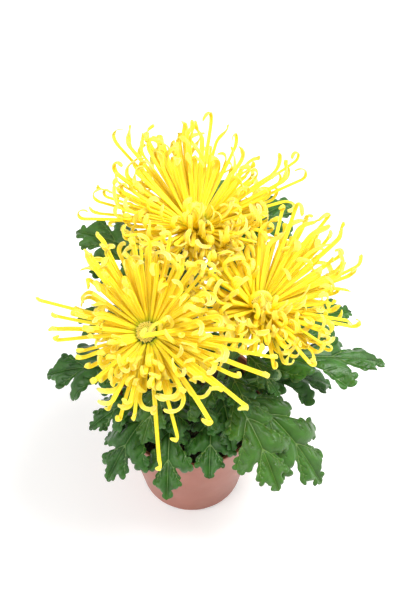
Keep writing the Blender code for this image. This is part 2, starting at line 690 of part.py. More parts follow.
def petal_room(stem, petal):
    """Search tree of a floret with room round it, without the first stretch, where all florets are close."""
    return tree([petal_tube(stem, petal, CLEARANCE, CROWDED_SHARE)])


def disc(stem):
    """The low dome of disc florets, its top raised and sunk in turn."""
    centre, right, far, facing = bloom_frame(stem)
    points = [centre + facing * (DISC_BASE + DISC_HEIGHT * 0.8)]
    faces = []
    for ring in range(1, DISC_RINGS + 1):
        share = ring / DISC_RINGS
        for step in range(DISC_STEPS):
            angle = math.tau * (step + 0.5 * (ring % 2)) / DISC_STEPS
            relief = 0.12 * DISC_HEIGHT * (1 if (step + ring) % 2 else -1)
            height = DISC_HEIGHT * math.cos(share * 1.35) + relief
            out = right * math.cos(angle) + far * math.sin(angle)
            points.append(centre + out * DISC_RADIUS * share + facing * (DISC_BASE + height))
    low = len(points)
    for step in range(DISC_STEPS):
        angle = math.tau * (step + 0.5 * (DISC_RINGS % 2)) / DISC_STEPS
        out = right * math.cos(angle) + far * math.sin(angle)
        points.append(centre + out * DISC_RADIUS + facing * DISC_BASE)
    for step in range(DISC_STEPS):
        following = (step + 1) % DISC_STEPS
        faces.append((0, 1 + step, 1 + following))
        for ring in range(DISC_RINGS):
            a, b = 1 + ring * DISC_STEPS + step, 1 + ring * DISC_STEPS + following
            faces.append((a, a + DISC_STEPS, b + DISC_STEPS))
            faces.append((a, b + DISC_STEPS, b))
    faces.append(tuple(reversed(range(low, low + DISC_STEPS))))
    return points, faces


def main():
    for old in list(bpy.data.objects):
        bpy.data.objects.remove(old)
    make_pot()
    make_soil()
    green = {name: bare_stem(name) for name in STEMS}
    discs = {name: disc(stem) for name, stem in STEMS.items()}
    pot_outline = tube([(0, 0, 0), (0, 0, POT_HEIGHT + CLEARANCE)], [POT_BASE_RADIUS, POT_RIM_RADIUS], POT_STEPS)
    place_leaves(green, [tree([pot_outline]), tree(discs.values())])
    obstacles = tree([shape for shapes in green.values() for shape in shapes] + list(discs.values()))
    for name, shapes in green.items():
        joined(add_object("stem_" + name, shapes[0], "foliage"), shapes[1:], "foliage")
    for name, petals in place_petals(obstacles).items():
        stem = STEMS[name]
        receptacle = add_object("rays_" + name, profile_tube(stem, RECEPTACLE_PROFILE, CUP_SIDES), "rays")
        joined(receptacle, [petal_tube(stem, petal) for petal in petals], "rays")
        add_object("disc_" + name, discs[name], "disc")


main()
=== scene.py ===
"""Looks of a potted spider chrysanthemum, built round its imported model: a moulded plastic pot, lumpy potting mix,
three leafy stems with veined leaves, and three blooms of hooked ray florets round their disc florets."""

import functools
import math
from collections import namedtuple

import bmesh
import bpy
import numpy as np
from bpy.props import FloatProperty, FloatVectorProperty, IntProperty, PointerProperty
from mathutils import Matrix, Vector
from mathutils.bvhtree import BVHTree
from mathutils.geometry import delaunay_2d_cdt


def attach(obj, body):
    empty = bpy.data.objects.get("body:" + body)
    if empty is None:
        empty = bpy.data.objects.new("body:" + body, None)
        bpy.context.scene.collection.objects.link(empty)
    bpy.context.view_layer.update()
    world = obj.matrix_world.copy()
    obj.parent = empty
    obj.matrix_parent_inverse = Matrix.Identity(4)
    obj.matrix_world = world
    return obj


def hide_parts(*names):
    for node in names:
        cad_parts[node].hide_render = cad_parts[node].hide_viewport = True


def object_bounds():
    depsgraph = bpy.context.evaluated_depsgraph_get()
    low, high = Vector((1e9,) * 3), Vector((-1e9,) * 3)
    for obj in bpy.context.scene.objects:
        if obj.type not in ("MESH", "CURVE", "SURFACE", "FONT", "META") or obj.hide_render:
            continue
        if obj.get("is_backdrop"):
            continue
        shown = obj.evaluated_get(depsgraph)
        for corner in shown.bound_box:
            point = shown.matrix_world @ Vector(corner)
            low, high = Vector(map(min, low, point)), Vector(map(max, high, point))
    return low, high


bl_info = {
    "name": "Potted spider chrysanthemum",
    "version": (1, 0, 0),
    "blender": (4, 5, 0),
    "location": "View3D > Sidebar > Chrysanthemum",
    "description": "Builds the looks of a potted spider chrysanthemum round its packed model",
    "category": "Object",
}

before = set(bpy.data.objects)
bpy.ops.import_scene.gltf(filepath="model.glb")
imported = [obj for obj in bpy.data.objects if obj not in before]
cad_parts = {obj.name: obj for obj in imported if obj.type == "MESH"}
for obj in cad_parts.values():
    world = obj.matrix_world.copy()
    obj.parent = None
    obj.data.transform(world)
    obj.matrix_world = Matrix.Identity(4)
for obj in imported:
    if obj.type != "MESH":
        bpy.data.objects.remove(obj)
CAD_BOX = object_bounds()

MM = 0.001
UP = Vector((0, 0, 1))

# Pot, as in the model
POT_HEIGHT = 105 * MM
POT_RIM_RADIUS = 60 * MM
POT_BASE_RADIUS = 40 * MM
POT_WALL = 1.6 * MM
POT_FLOOR = 2 * MM
POT_CORNER = 4 * MM
POT_STEPS = 32
LIP_HEIGHT = 3 * MM
LIP_STEP = 0.8 * MM
LIP_ROUND = 0.5 * MM
NOTCHES = 8
NOTCH_WIDTH = 9 * MM
NOTCH_HEIGHT = 3 * MM
NOTCH_INNER_RADIUS = 31 * MM
SEAT_GAP = 0.3 * MM
CORNER_STEPS = 6

# Potting mix, as in the model
SOIL_TOP = 93 * MM
SOIL_BUMP = 1.2 * MM

# Stems, as in the model
STEM_FOOT_RADIUS = 3.2 * MM
STEM_NECK_RADIUS = 2.2 * MM
STEM_DEPTH = 28 * MM
STEM_SIDES = 8

# Leaves, as in the model
BLADE_THICKNESS = 0.8 * MM
PETIOLE_SHARE = 0.2
PETIOLE_RADIUS = 1.5 * MM
PETIOLE_SIDES = 3
BUD_SIDES = 6
FOLD_DEGREES = 12
CURL = 0.35
WAVE = 0.035
HALF_OUTLINE = (
    (0.14, 0.13), (0.26, 0.25), (0.28, 0.34), (0.21, 0.39), (0.09, 0.39), (0.21, 0.47), (0.32, 0.56),
    (0.34, 0.66), (0.26, 0.70), (0.11, 0.65), (0.18, 0.76), (0.18, 0.85), (0.09, 0.87), (0.07, 0.95),
)
SMALL_OUTLINE = ((0.10, 0.16), (0.22, 0.38), (0.11, 0.48), (0.20, 0.66), (0.08, 0.84))

# Blooms, as in the model
CUP_PROFILE = ((2.0, -18), (3.2, -15), (7.0, -10.5), (8.8, -7.2), (8.6, -5.2))
RECEPTACLE_PROFILE = ((8.6, -4.9), (9.3, -2.0), (8.6, 1.6))
DISC_RADIUS = 6.9 * MM
DISC_HEIGHT = 3.6 * MM
DISC_BASE = 1.9 * MM
DISC_RINGS = 4
DISC_STEPS = 16
CUP_SIDES = 10
PETAL_SIDES = 3
PETAL_STEPS = 60
PETAL_BODY = (0, 0.5, 1)
PETAL_HOOK = (0.35, 0.6, 0.8, 1)
PETAL_ROOT_RADIUS = 0.95 * MM
PETAL_MIDDLE_RADIUS = 1.35 * MM
PETAL_HOOK_RADIUS = 2.0 * MM
PETAL_TIP_RADIUS = 1.3 * MM
TIGHTEST_HOOK = 3.2 * MM
ROOT_INNER_RADIUS = 6.5 * MM
ROOT_GAP = 0.5 * MM
STEEPEST = 80
CROWDED_SHARE = 0.2
CLEARANCE = 0.5 * MM

Stem = namedtuple("Stem", "foot bloom axis")
Leaf = namedtuple("Leaf", "start tip arch width twist outline", defaults=(HALF_OUTLINE,))
Bud = namedtuple("Bud", "start place radius")
Petal = namedtuple("Petal", "azimuth lift length hook curl sway droop bow root")
Tier = namedtuple("Tier", "count lift length hook bow root spread")

# Feet and bloom centres in millimetres, and the way each bloom faces.
STEMS = {
    "left": Stem((-14, -8), (-30, -29, 235), (-0.25, -0.42, 0.87)),
    "right": Stem((16, -6), (51, -5, 235), (0.30, 0.00, 0.95)),
    "back": Stem((0, 18), (4, 55, 255), (-0.02, 0.20, 0.98)),
}

# Each leaf: the height at which it leaves its stem and the place of its tip, in millimetres, then how far its
# midrib arches over the straight line as a share of it, its width as a share of the usual, and its twist.
LEAVES = {
    "left": (
        Leaf(140, (-113, 12, 122), 0.16, 0.95, -10),
        Leaf(120, (-64, -70, 98), 0.24, 1.1, 15),
        Leaf(116, (-18, -86, 97), 0.22, 0.86, 0),
        Leaf(124, (-8, -54, 126), 0.2, 1.3, 0),
        Leaf(150, (20, -52, 142), 0.20, 0.9, -15),
        Leaf(165, (-88, 42, 165), 0.16, 0.9, 10),
        Leaf(128, (-60, 62, 120), 0.2, 0.95, 0),
        Leaf(185, (-72, -34, 178), 0.12, 0.8, 0),
        Leaf(136, (12, 26, 150), 0.16, 1.0, 0),
        Leaf(126, (-78, -36, 118), 0.2, 0.9, 0),
        Leaf(150, (-36, -62, 138), 0.2, 0.8, 0),
        Leaf(203, (-66, -4, 200), 0.14, 0.9, 0, SMALL_OUTLINE),
        Leaf(212, (-6, -2, 214), 0.14, 0.8, 0, SMALL_OUTLINE),
    ),
    "right": (
        Leaf(150, (151, 10, 140), 0.12, 0.8, -20),
        Leaf(165, (126, 52, 152), 0.12, 0.8, 10),
        Leaf(138, (67, -80, 100), 0.22, 0.95, 0),
        Leaf(122, (102, -58, 74), 0.3, 0.95, 0),
        Leaf(112, (14, -74, 108), 0.2, 1.1, 0),
        Leaf(136, (32, -58, 130), 0.2, 1.1, 0),
        Leaf(116, (112, 18, 98), 0.25, 0.9, 0),
        Leaf(185, (66, -42, 172), 0.14, 0.7, 0),
        Leaf(146, (10, -46, 146), 0.18, 1.0, 10),
        Leaf(158, (44, -50, 158), 0.16, 0.9, 0),
        Leaf(132, (32, 50, 142), 0.16, 1.0, 0),
        Leaf(206, (78, 18, 202), 0.14, 0.9, 0, SMALL_OUTLINE),
        Leaf(213, (36, 26, 214), 0.14, 0.8, 0, SMALL_OUTLINE),
    ),
    "back": (
        Leaf(190, (-90, 100, 192), 0.14, 0.85, -10),
        Leaf(170, (-82, 84, 168), 0.12, 0.75, 20),
        Leaf(200, (80, 124, 200), 0.14, 0.85, 0),
        Leaf(180, (66, 92, 186), 0.12, 0.6, 0),
        Leaf(205, (32, 144, 198), 0.14, 0.8, 0),
        Leaf(150, (-28, 140, 130), 0.2, 1.0, 0),
        Leaf(130, (72, 112, 108), 0.22, 1.0, 0),
        Leaf(116, (-46, 104, 82), 0.3, 0.9, 0),
        Leaf(224, (-34, 60, 222), 0.14, 0.9, 0, SMALL_OUTLINE),
        Leaf(230, (34, 76, 228), 0.14, 0.8, 0, SMALL_OUTLINE),
    ),
}

BUDS = {"right": (Bud(140, (64, -18, 166), 4.0), Bud(136, (53, -22, 168), 3.4), Bud(160, (47, 8, 190), 3.2))}

# The florets that stand out of each bloom: direction round the bloom and lift above its face in degrees, length in
# millimetres, the turn of the hook and its length, its sideways turn, the fall under the floret's own weight as a
# share, the bend along its length, and the height of its root.
LONG_PETALS = {
    "left": (
        Petal(160, 8, 88, 150, 16, 20, 0.05, 0, -1), Petal(167, 2, 78, 190, 18, -20, 0.05, 8, -1),
        Petal(276, 0, 86, 150, 14, 50, 0.34, 0, -2), Petal(289, 6, 75, 190, 14, 30, 0.32, 0, -2),
        Petal(309, 8, 86, 220, 18, 20, 0.18, 0, -2), Petal(327, 14, 102, 140, 20, 30, 0.22, 0, -1),
        Petal(347, 10, 106, 150, 16, 20, 0.05, 0, -1), Petal(340, 8, 101, 170, 14, -20, 0.08, 0, -1),
        Petal(112, 22, 76, 120, 22, 10, 0.0, 10, 0), Petal(250, 6, 64, 210, 16, 30, 0.3, 0, -2),
        Petal(262, 10, 60, 220, 14, -20, 0.3, 0, -1), Petal(352, 26, 62, 200, 18, 20, 0.0, 10, 0),
        Petal(175, 10, 74, 200, 16, -10, 0.05, 0, -1),
    ),
    "right": (
        Petal(24, 16, 82, 190, 20, 30, 0.0, 0, 0), Petal(352, 10, 76, 170, 16, 20, 0.05, 0, -1),
        Petal(332, 6, 61, 200, 14, 20, 0.15, 0, -2), Petal(57, 36, 94, 220, 26, -20, 0.0, 0, 1),
        Petal(213, -3, 107, 110, 12, 20, 0.04, 37, 1), Petal(282, 4, 52, 230, 14, 0, 0.3, 0, -2),
        Petal(78, 44, 88, 200, 24, 30, 0.0, 0, 1), Petal(37, 22, 80, 190, 20, -20, 0.0, 0, 0),
        Petal(312, 6, 60, 210, 14, 20, 0.2, 0, -2),
    ),
    "back": (
        Petal(80, 34, 95, 200, 26, -20, 0.0, 0, 1), Petal(60, 30, 83, 210, 24, 20, 0.0, 0, 1),
        Petal(27, 18, 100, 220, 20, 30, 0.0, 8, 0), Petal(20, 12, 96, 210, 18, -20, 0.0, 8, -1),
        Petal(138, 26, 100, 160, 24, 30, 0.0, 0, 0), Petal(151, 20, 82, 190, 20, -20, 0.0, 8, 0),
        Petal(182, 10, 91, 220, 16, 0, 0.05, 0, -1), Petal(171, 12, 83, 190, 18, 30, 0.0, 0, -1),
        Petal(104, 36, 76, 200, 26, 40, 0.0, 8, 1), Petal(100, 44, 70, 220, 22, -20, 0.0, 8, 1),
        Petal(118, 34, 90, 240, 34, -30, 0.0, 0, 0),
    ),
}

# The tiers of florets, outermost first: count, lift, length in millimetres, hook, bend, height of the roots and
# spread of the lift.
TIERS = {
    "left": (
        Tier(14, 2, 66, 195, 0, -3.2, 7), Tier(12, 15, 64, 205, 4, -1.5, 5), Tier(11, 27, 60, 210, 6, 0, 5),
        Tier(9, 38, 54, 215, 6, 1.2, 4),
    ),
    "right": (
        Tier(13, 2, 64, 195, 0, -3.2, 7), Tier(13, 18, 64, 205, 4, -1.5, 6), Tier(12, 34, 62, 210, 6, 0, 5),
        Tier(8, 50, 58, 210, 6, 1.2, 5),
    ),
    "back": (
        Tier(13, 2, 66, 195, 0, -3.2, 7), Tier(13, 18, 66, 205, 4, -1.5, 6), Tier(12, 34, 64, 210, 6, 0, 5),
        Tier(8, 50, 60, 210, 6, 1.2, 5),
    ),
}
# The florets on the viewer's side open wider than those on the far side, by this many degrees at most, and are
# shorter, by this share at most.
FRONT_DROP = 20
FRONT_SHORTENING = 0.25
SEEDS = {"left": 11, "right": 23, "back": 37}
# What the other random choices of a stem add to its seed, and the seed of the bits in the mix.
EXTRA_TIER_SEED = 1
FLORET_SEED = 2
DISC_SEED = 3
EXTRA_SEED = 101
CRUMB_SEED = 5

# The extra florets need less room, and none stands higher above the model than this.
EXTRA_CLEARANCE = 0.2 * MM
EXTRA_RISE = 3 * MM

# Fine forms: the angle that the dome of a disc bends through, in radians, the length of blade in millimetres
# that the sizes of the teeth are for, and the points of a floret's section outside and inside.
DOME_BEND = 1.35
TOOTH_BLADE = 75
FLORET_OUTER = 10
FLORET_INNER = 5
FLORET_SIDES = FLORET_OUTER + FLORET_INNER
DISC_FLORET_RADIUS = 0.42 * MM
HAIRS = 700
HAIR_LENGTH = 0.9 * MM
SOIL_RINGS = 46
SOIL_STEPS = 150
CRUMB_SIZES = (0.8, 2.6)
GOLDEN_ANGLE = math.pi * (3 - math.sqrt(5))

# Rows of bracts on a cup: how many, the heights of their feet and tips and how far they stand off, all in
# millimetres, and the share of a step that the row is turned. Those of a bud: how many, and from where to where
# as shares of its radius.
CUP_ROWS = ((15, -16.0, -9.5, 0.1, 0.0), (17, -13.5, -6.6, 0.2, 0.5), (19, -11.0, -4.0, 0.3, 0.2))
BUD_ROWS = ((10, -0.75, 0.15), (11, -0.35, 0.55), (12, 0.05, 0.85), (9, 0.45, 1.0))

# The camera's sensor in millimetres, and the point that the lamps are turned to.
SENSOR_WIDTH = 36
LIT_POINT = (0, 0, 0.15)

# A floret that would run into its neighbours is tried a little aside, higher or shorter, in this order:
# degrees round the bloom, degrees of lift, share of the length.
NUDGES = (
    (0, 0, 1), (3, 0, 1), (-3, 0, 1), (0, -4, 1), (6, 0, 1), (-6, 0, 1), (0, 5, 1), (9, 0, 1), (-9, 0, 1),
    (5, 5, 1), (-5, 5, 1), (5, -5, 1), (-5, -5, 1), (0, 10, 0.97), (8, 8, 0.95), (-8, 8, 0.95), (0, 16, 0.92),
    (12, 4, 0.9), (-12, 4, 0.9), (10, 14, 0.9), (-10, 14, 0.9), (0, 0, 0.8), (0, 24, 0.85), (0, 34, 0.75),
)

# The same for a leaf's tip: degrees round the pot, millimetres up, share of the distance from the middle.
LEAF_MOVES = (
    (0, 0, 1), (5, 0, 1), (-5, 0, 1), (0, 8, 1), (0, -8, 1), (6, 8, 1), (-6, 8, 1), (10, 0, 1), (-10, 0, 1),
    (0, 16, 1), (10, 14, 0.95), (-10, 14, 0.95), (0, 0, 0.85), (14, 8, 0.9), (-14, 8, 0.9), (0, 24, 0.9),
    (20, 10, 0.9), (-20, 10, 0.9), (0, -16, 0.9), (0, 30, 0.8),
)

# Finer form of the leaves: the lobes as the place on the midrib where a lobe's vein starts and the lobe's tip.
BIG_LOBES = ((0.05, (0.25, 0.31)), (0.25, (0.31, 0.62)), (0.56, (0.16, 0.80)))
SMALL_LOBES = ((0.10, (0.19, 0.36)), (0.40, (0.17, 0.63)))
LEAF_THICKNESS = 0.45 * MM
TOOTH_WIDTH = 7.4
TOOTH_HEIGHT = 2.5
EDGE_STEP = 0.55

# The extra florets of each bloom, which fill it out between those of the model, and how much more freely
# they vary.
EXTRA_TIERS = (
    Tier(24, 0, 56, 200, 0, -2.8, 5), Tier(26, 8, 58, 205, 3, -2.0, 5), Tier(26, 16, 58, 210, 4, -1.0, 5),
    Tier(24, 24, 58, 210, 5, 0.0, 4), Tier(18, 33, 56, 215, 6, 0.8, 4),
)
EXTRA_FREEDOM = 1.4
# The extra florets are longest towards one direction round each bloom and shortest towards another: the degrees of
# each, and by what share they are longer or shorter there.
EXTRA_REACH = {"left": (80, 0.28, 185, 0.34), "right": (60, 0.22, 260, 0.25), "back": (100, 0.35, 280, 0.25)}
# Bunches of extra florets that stand out together: direction and lift in degrees, length in millimetres and count.
BUNCHES = {
    "left": ((112, 20, 72, 5), (342, 14, 82, 5), (300, 2, 66, 3)),
    "right": ((60, 34, 80, 5), (24, 16, 70, 4), (248, 52, 36, 3), (270, 58, 34, 3), (292, 52, 36, 3)),
    "back": (
        (125, 30, 86, 9), (93, 38, 76, 9), (24, 16, 84, 5), (168, 14, 74, 3), (322, 20, 62, 3), (240, 2, 54, 4),
        (300, 2, 54, 4), (246, 50, 38, 3), (268, 56, 36, 3), (290, 50, 38, 3),
    ),
}

# Finer form of a floret: the ribs round its back, and the teeth of its tip as far as each point stands forward.
FLORET_RIBS = np.array([1.0, 0.95, 1.04, 0.95, 1.05, 1.05, 0.95, 1.04, 0.95, 1.0])[:, None]
FLORET_TEETH = np.array([0.9, 0.8, -0.3, -0.2, 0.8, 0.8, -0.2, -0.3, 0.8, 0.9, 0.7, 0.0, 0.6, 0.0, 0.7]) * MM

# The photograph's camera
CAMERA_PLACE = (0.01025, -0.69969, 1.15662)
CAMERA_TILT = 37
CAMERA_LENS = 94.12


# Shader arithmetic


def put(tree, place, value):
    """Gives a node's socket a value, or links another node's output to it."""
    if isinstance(value, Shade):
        tree.links.new(value.socket, place)
    elif isinstance(place.default_value, float) or isinstance(value, (int, float)):
        place.default_value = value
    else:
        place.default_value = (*value, 1)[: len(place.default_value)]


class Shade:
    """A node's output, which takes part in plain arithmetic on numbers."""

    def __init__(self, tree, socket):
        self.tree = tree
        self.socket = socket

    def math(self, operation, *values):
        made = self.tree.nodes.new("ShaderNodeMath")
        made.operation = operation
        for place, value in zip(made.inputs, values):
            put(self.tree, place, value)
        return Shade(self.tree, made.outputs[0])

    def __add__(self, other):
        return self.math("ADD", self, other)

    def __radd__(self, other):
        return self.math("ADD", other, self)

    def __sub__(self, other):
        return self.math("SUBTRACT", self, other)

    def __rsub__(self, other):
        return self.math("SUBTRACT", other, self)

    def __mul__(self, other):
        return self.math("MULTIPLY", self, other)

    def __rmul__(self, other):
        return self.math("MULTIPLY", other, self)

    def most(self, other):
        return self.math("MAXIMUM", self, other)


class Finish:
    """One material, built round its Principled shader."""

    def __init__(self, name, **constants):
        self.material = bpy.data.materials.new(name)
        self.material.use_nodes = True
        self.tree = self.material.node_tree
        self.surface = self.tree.nodes["Principled BSDF"]
        for socket, value in constants.items():
            put(self.tree, self.surface.inputs[socket.replace("_", " ")], value)

    def node(self, kind, output=0, settings=(), sockets=()):
        """Adds a node of any type: its settings first, then the values or links of its sockets."""
        made = self.tree.nodes.new("ShaderNode" + kind)
        for name, value in dict(settings).items():
            setattr(made, name, value)
        for name, value in dict(sockets).items():
            put(self.tree, made.inputs[name], value)
        return Shade(self.tree, made.outputs[output])

    def value(self, name):
        """A number that the mesh holds at its points."""
        return self.node("Attribute", "Fac", {"attribute_name": name})

    def rise(self, number, low, high):
        """0 below low, 1 above high and a smooth step between them."""
        return self.node(
            "MapRange", 0, {"interpolation_type": "SMOOTHSTEP"}, {0: number, 1: low, 2: high, 3: 0.0, 4: 1.0}
        )

    def noise(self, scale, detail=3.0, where=None):
        """Cloudy noise from 0 to 1, with its scale in lumps to the metre."""
        if where is None:
            where = self.node("TexCoord", "Object")
        return self.node("TexNoise", 0, (), {"Vector": where, "Scale": scale, "Detail": detail})

    def blend(self, share, first, second):
        """A mix of two colours."""
        return self.node(
            "Mix", 2, {"data_type": "RGBA", "clamp_factor": True}, {0: share, 6: first, 7: second}
        )

    def bump(self, height, distance, strength=1.0):
        return self.node("Bump", 0, (), {"Height": height, "Distance": distance, "Strength": strength})

    def feed(self, **values):
        """Links what varies over the surface to the shader's own sockets."""
        for socket, value in values.items():
            put(self.tree, self.surface.inputs[socket.replace("_", " ")], value)
        return self.material


# Meshes


class Gathered:
    """Loose shapes gathered for one mesh, with named numbers at their points."""

    def __init__(self, *names):
        self.points = []
        self.faces = []
        self.numbers = {name: [] for name in names}
        self.size = 0

    def add(self, points, faces, **numbers):
        points = plain(points)
        self.points.append(points)
        self.faces += [tuple([self.size + i for i in face]) for face in faces]
        for name, kept in self.numbers.items():
            kept.append(np.broadcast_to(np.asarray(numbers.get(name, 0.0), float), (len(points),)))
        self.size += len(points)

    def make(self, name, finish, sharp=50):
        mesh = bpy.data.meshes.new(name)
        mesh.from_pydata(np.concatenate(self.points).tolist(), [], self.faces)
        for number, kept in self.numbers.items():
            mesh.attributes.new(number, "FLOAT", "POINT").data.foreach_set("value", np.concatenate(kept))
        mesh.shade_smooth()
        mesh.set_sharp_from_angle(angle=math.radians(sharp))
        mesh.materials.append(finish)
        made = bpy.data.objects.new(name, mesh)
        bpy.context.scene.collection.objects.link(made)
        return made


def stands_for(piece, node):
    """The piece rides on the one body and takes the place of a node of the model."""
    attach(piece, "root")
    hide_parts(node)


def unit(vectors):
    return vectors / np.linalg.norm(vectors, axis=-1, keepdims=True)


def plain(points):
    """Points as an array of numbers."""
    return np.asarray([tuple(point) for point in points], float)


def even_turns(sides):
    """Even angles round a circle."""
    return np.linspace(0, math.tau, sides, endpoint=False)


def spoke(right, far, angle):
    """The way out at an angle from right towards far."""
    return right * math.cos(angle) + far * math.sin(angle)


def closed_rings(count, sides):
    """The faces of a closed shape whose points are rings, one after another."""
    faces = [tuple(reversed(range(sides)))]
    for ring in range(count - 1):
        for k in range(sides):
            a, b = ring * sides + k, ring * sides + (k + 1) % sides
            faces.append((a, b, b + sides, a + sides))
    faces.append(tuple(range((count - 1) * sides, count * sides)))
    return faces


def two_sheets(top, count):
    """The faces of a thin blade with count points on each side: its top with that turned over, and its edge."""
    top = [tuple(face) for face in top]
    used = {(a, b) for face in top for a, b in zip(face, face[1:] + face[:1])}
    edge = [(b, a, a + count, b + count) for a, b in sorted(used) if (b, a) not in used]
    return top + [tuple(i + count for i in reversed(face)) for face in top], edge


def directions(points):
    """The way along a line at each of its points."""
    ends = np.vstack([points[:1], points, points[-1:]])
    return unit(ends[2:] - ends[:-2])


def swept(points, normals, sections):
    """A closed sweep along points, from sections with a number across and a number along the normals."""
    ahead = directions(points)
    normals = unit(normals - ahead * np.sum(normals * ahead, axis=1, keepdims=True))
    across = np.cross(ahead, normals)
    rings = points[:, None] + sections[..., :1] * across[:, None] + sections[..., 1:] * normals[:, None]
    return rings.reshape(-1, 3), closed_rings(*sections.shape[:2])


def carried(points):
    """Normals of a line of points that turn with it and don't twist round it."""
    ahead = [Vector(t) for t in directions(points)]
    side = ahead[0].orthogonal().normalized()
    normals = []
    for before, after in zip([ahead[0], *ahead], ahead):
        side = before.rotation_difference(after) @ side
        side = (side - after * side.dot(after)).normalized()
        normals.append(tuple(side))
    return np.array(normals)


def circle(sides, phase=0.0):
    turn = even_turns(sides) + phase
    return np.stack([np.cos(turn), np.sin(turn)], axis=1)


def round_sweep(points, radii, sides, ridges=0, ridge=0.0):
    """A round tube along points, with lengthwise ridges if they are wanted."""
    ring = circle(sides) * (1 + ridge * np.cos(ridges * even_turns(sides)))[:, None]
    points = plain(points)
    return swept(points, carried(points), np.asarray(radii)[:, None, None] * ring)


def smooth_line(points, count):
    """A line through points, rounded between them and sampled evenly."""
    points = plain(points)
    ends = np.vstack([2 * points[0] - points[1], points, 2 * points[-1] - points[-2]])
    s = np.linspace(0, 1, 12, endpoint=False)[:, None]
    fine = [
        0.5 * (2 * b + (c - a) * s + (2 * a - 5 * b + 4 * c - d) * s**2 + (3 * b - a - 3 * c + d) * s**3)
        for a, b, c, d in zip(ends, ends[1:], ends[2:], ends[3:])
    ]
    return sampled(np.vstack([*fine, points[-1:]]), np.linspace(0, 1, count))


def sampled(points, shares):
    """Points at shares of the length of a line."""
    lengths = np.concatenate([[0], np.cumsum(np.linalg.norm(np.diff(points, axis=0), axis=1))])
    return np.stack([np.interp(np.asarray(shares) * lengths[-1], lengths, axis) for axis in points.T], axis=-1)


# The model's own rules, which place every stem, leaf and floret


def tube(points, radii, sides):
    """A closed tube of many sides round a line of points, carried along without twisting."""
    points = [Vector(p) for p in points]
    ends = [points[0], *points, points[-1]]
    tangents = [(after - before).normalized() for before, after in zip(ends, ends[2:])]
    side = tangents[0].orthogonal().normalized()
    corners = []
    for i, (point, tangent, radius) in enumerate(zip(points, tangents, radii)):
        if i:
            side = tangents[i - 1].rotation_difference(tangent) @ side
        side = (side - tangent * side.dot(tangent)).normalized()
        other = tangent.cross(side)
        for k in range(sides):
            angle = math.tau * k / sides
            corners.append(point + spoke(side, other, angle) * float(radius))
    return corners, closed_rings(len(points), sides)


def tree(shapes):
    """A search tree over the faces of several shapes."""
    points, faces = [], []
    for shape_points, shape_faces in shapes:
        first = len(points)
        points.extend(shape_points)
        faces.extend(tuple(first + i for i in face) for face in shape_faces)
    return BVHTree.FromPolygons(points, faces)


def wall_radius(height):
    """Outer radius of the pot's tapered wall."""
    return POT_BASE_RADIUS + (POT_RIM_RADIUS - LIP_STEP - POT_BASE_RADIUS) * height / POT_HEIGHT


def bloom_frame(stem):
    """The centre of a bloom and its right, far and facing directions."""
    facing = Vector(stem.axis).normalized()
    right = (Vector((1, 0, 0)) - facing * facing.x).normalized()
    return Vector(stem.bloom) * MM, right, facing.cross(right), facing


def stem_line(stem, count=8):
    """Centre line of a stem, from its foot in the mix to the neck of its bloom."""
    centre, _, _, facing = bloom_frame(stem)
    foot = Vector((stem.foot[0] * MM, stem.foot[1] * MM, SOIL_TOP))
    neck = centre + facing * CUP_PROFILE[1][1] * MM
    reach = (neck - foot).length / 3
    line = [foot - UP * STEM_DEPTH]
    for share in np.linspace(0, 1, count).tolist():
        a, b = foot + UP * reach, neck - facing * reach
        rest = 1 - share
        line.append(rest**3 * foot + 3 * rest**2 * share * a + 3 * rest * share**2 * b + share**3 * neck)
    return line


def along(line, share):
    """The point at a share of the way along a line of points."""
    lengths = np.cumsum([0] + [(b - a).length for a, b in zip(line, line[1:])])
    wanted = share * lengths[-1]
    i = int(np.clip(np.searchsorted(lengths, wanted) - 1, 0, len(line) - 2))
    return line[i].lerp(line[i + 1], (wanted - lengths[i]) / (lengths[i + 1] - lengths[i]))


def at_height(line, height):
    for a, b in zip(line, line[1:]):
        if a.z <= height <= b.z:
            return a.lerp(b, (height - a.z) / (b.z - a.z))
    return line[-1]


def leaf_midrib(line, leaf, count=25):
    """Points from the stem's middle to the leaf's tip."""
    start = at_height(line, leaf.start * MM)
    tip = Vector(leaf.tip) * MM
    crest = start.lerp(tip, 0.5) + UP * leaf.arch * (tip - start).length * 2
    shares = np.linspace(0, 1, count).tolist()
    return [(1 - s) ** 2 * start + 2 * s * (1 - s) * crest + s * s * tip for s in shares]


def blade_points(midrib, leaf, flat):
    """The places on the blade of (x, y) pairs, x lengths aside of the midrib and y lengths from its base, with the
    normals there."""
    line = plain(midrib)
    x, y = np.asarray(flat, float).T
    share = PETIOLE_SHARE + (1 - PETIOLE_SHARE) * y
    ahead = unit(sampled(line, np.minimum(share + 0.02, 1)) - sampled(line, share - 0.02))
    run = line[-1] - line[0]
    side = unit(np.array([run[1], -run[0], 0.0]))
    twist = (np.radians(leaf.twist) * (0.3 + 0.7 * y))[:, None]
    side = side * np.cos(twist) + np.cross(ahead, side) * np.sin(twist)
    normal = np.cross(side, ahead)
    length = float(np.linalg.norm(run))
    aside = x * length * leaf.width * (1 - PETIOLE_SHARE)
    fold = math.radians(FOLD_DEGREES)
    wave = WAVE * length * np.sin(15 * y + 2 * (x > 0)) * np.minimum(np.abs(x) / 0.3, 1) ** 2
    rise = np.abs(aside) * math.sin(fold) - CURL * aside * aside / length * 4 + wave
    places = sampled(line, share) + side * (aside * math.cos(fold))[:, None] + normal * rise[:, None]
    return places, normal


def two_sided(flat, edges, midrib, leaf, half):
    """A closed thin blade over a flat outline, its faces alike on both sides, from distances off the middle."""
    spots, _, top, *_ = delaunay_2d_cdt([Vector(p) for p in flat], edges, [], 1, 1e-6)
    places, normals = blade_points(midrib, leaf, plain(spots))
    sheets, walls = two_sheets(top, len(places))
    split = [tri for a, b, c, d in walls for tri in ((a, b, c), (a, c, d))]
    return np.vstack([places + normals * half, places - normals * half]), sheets + split


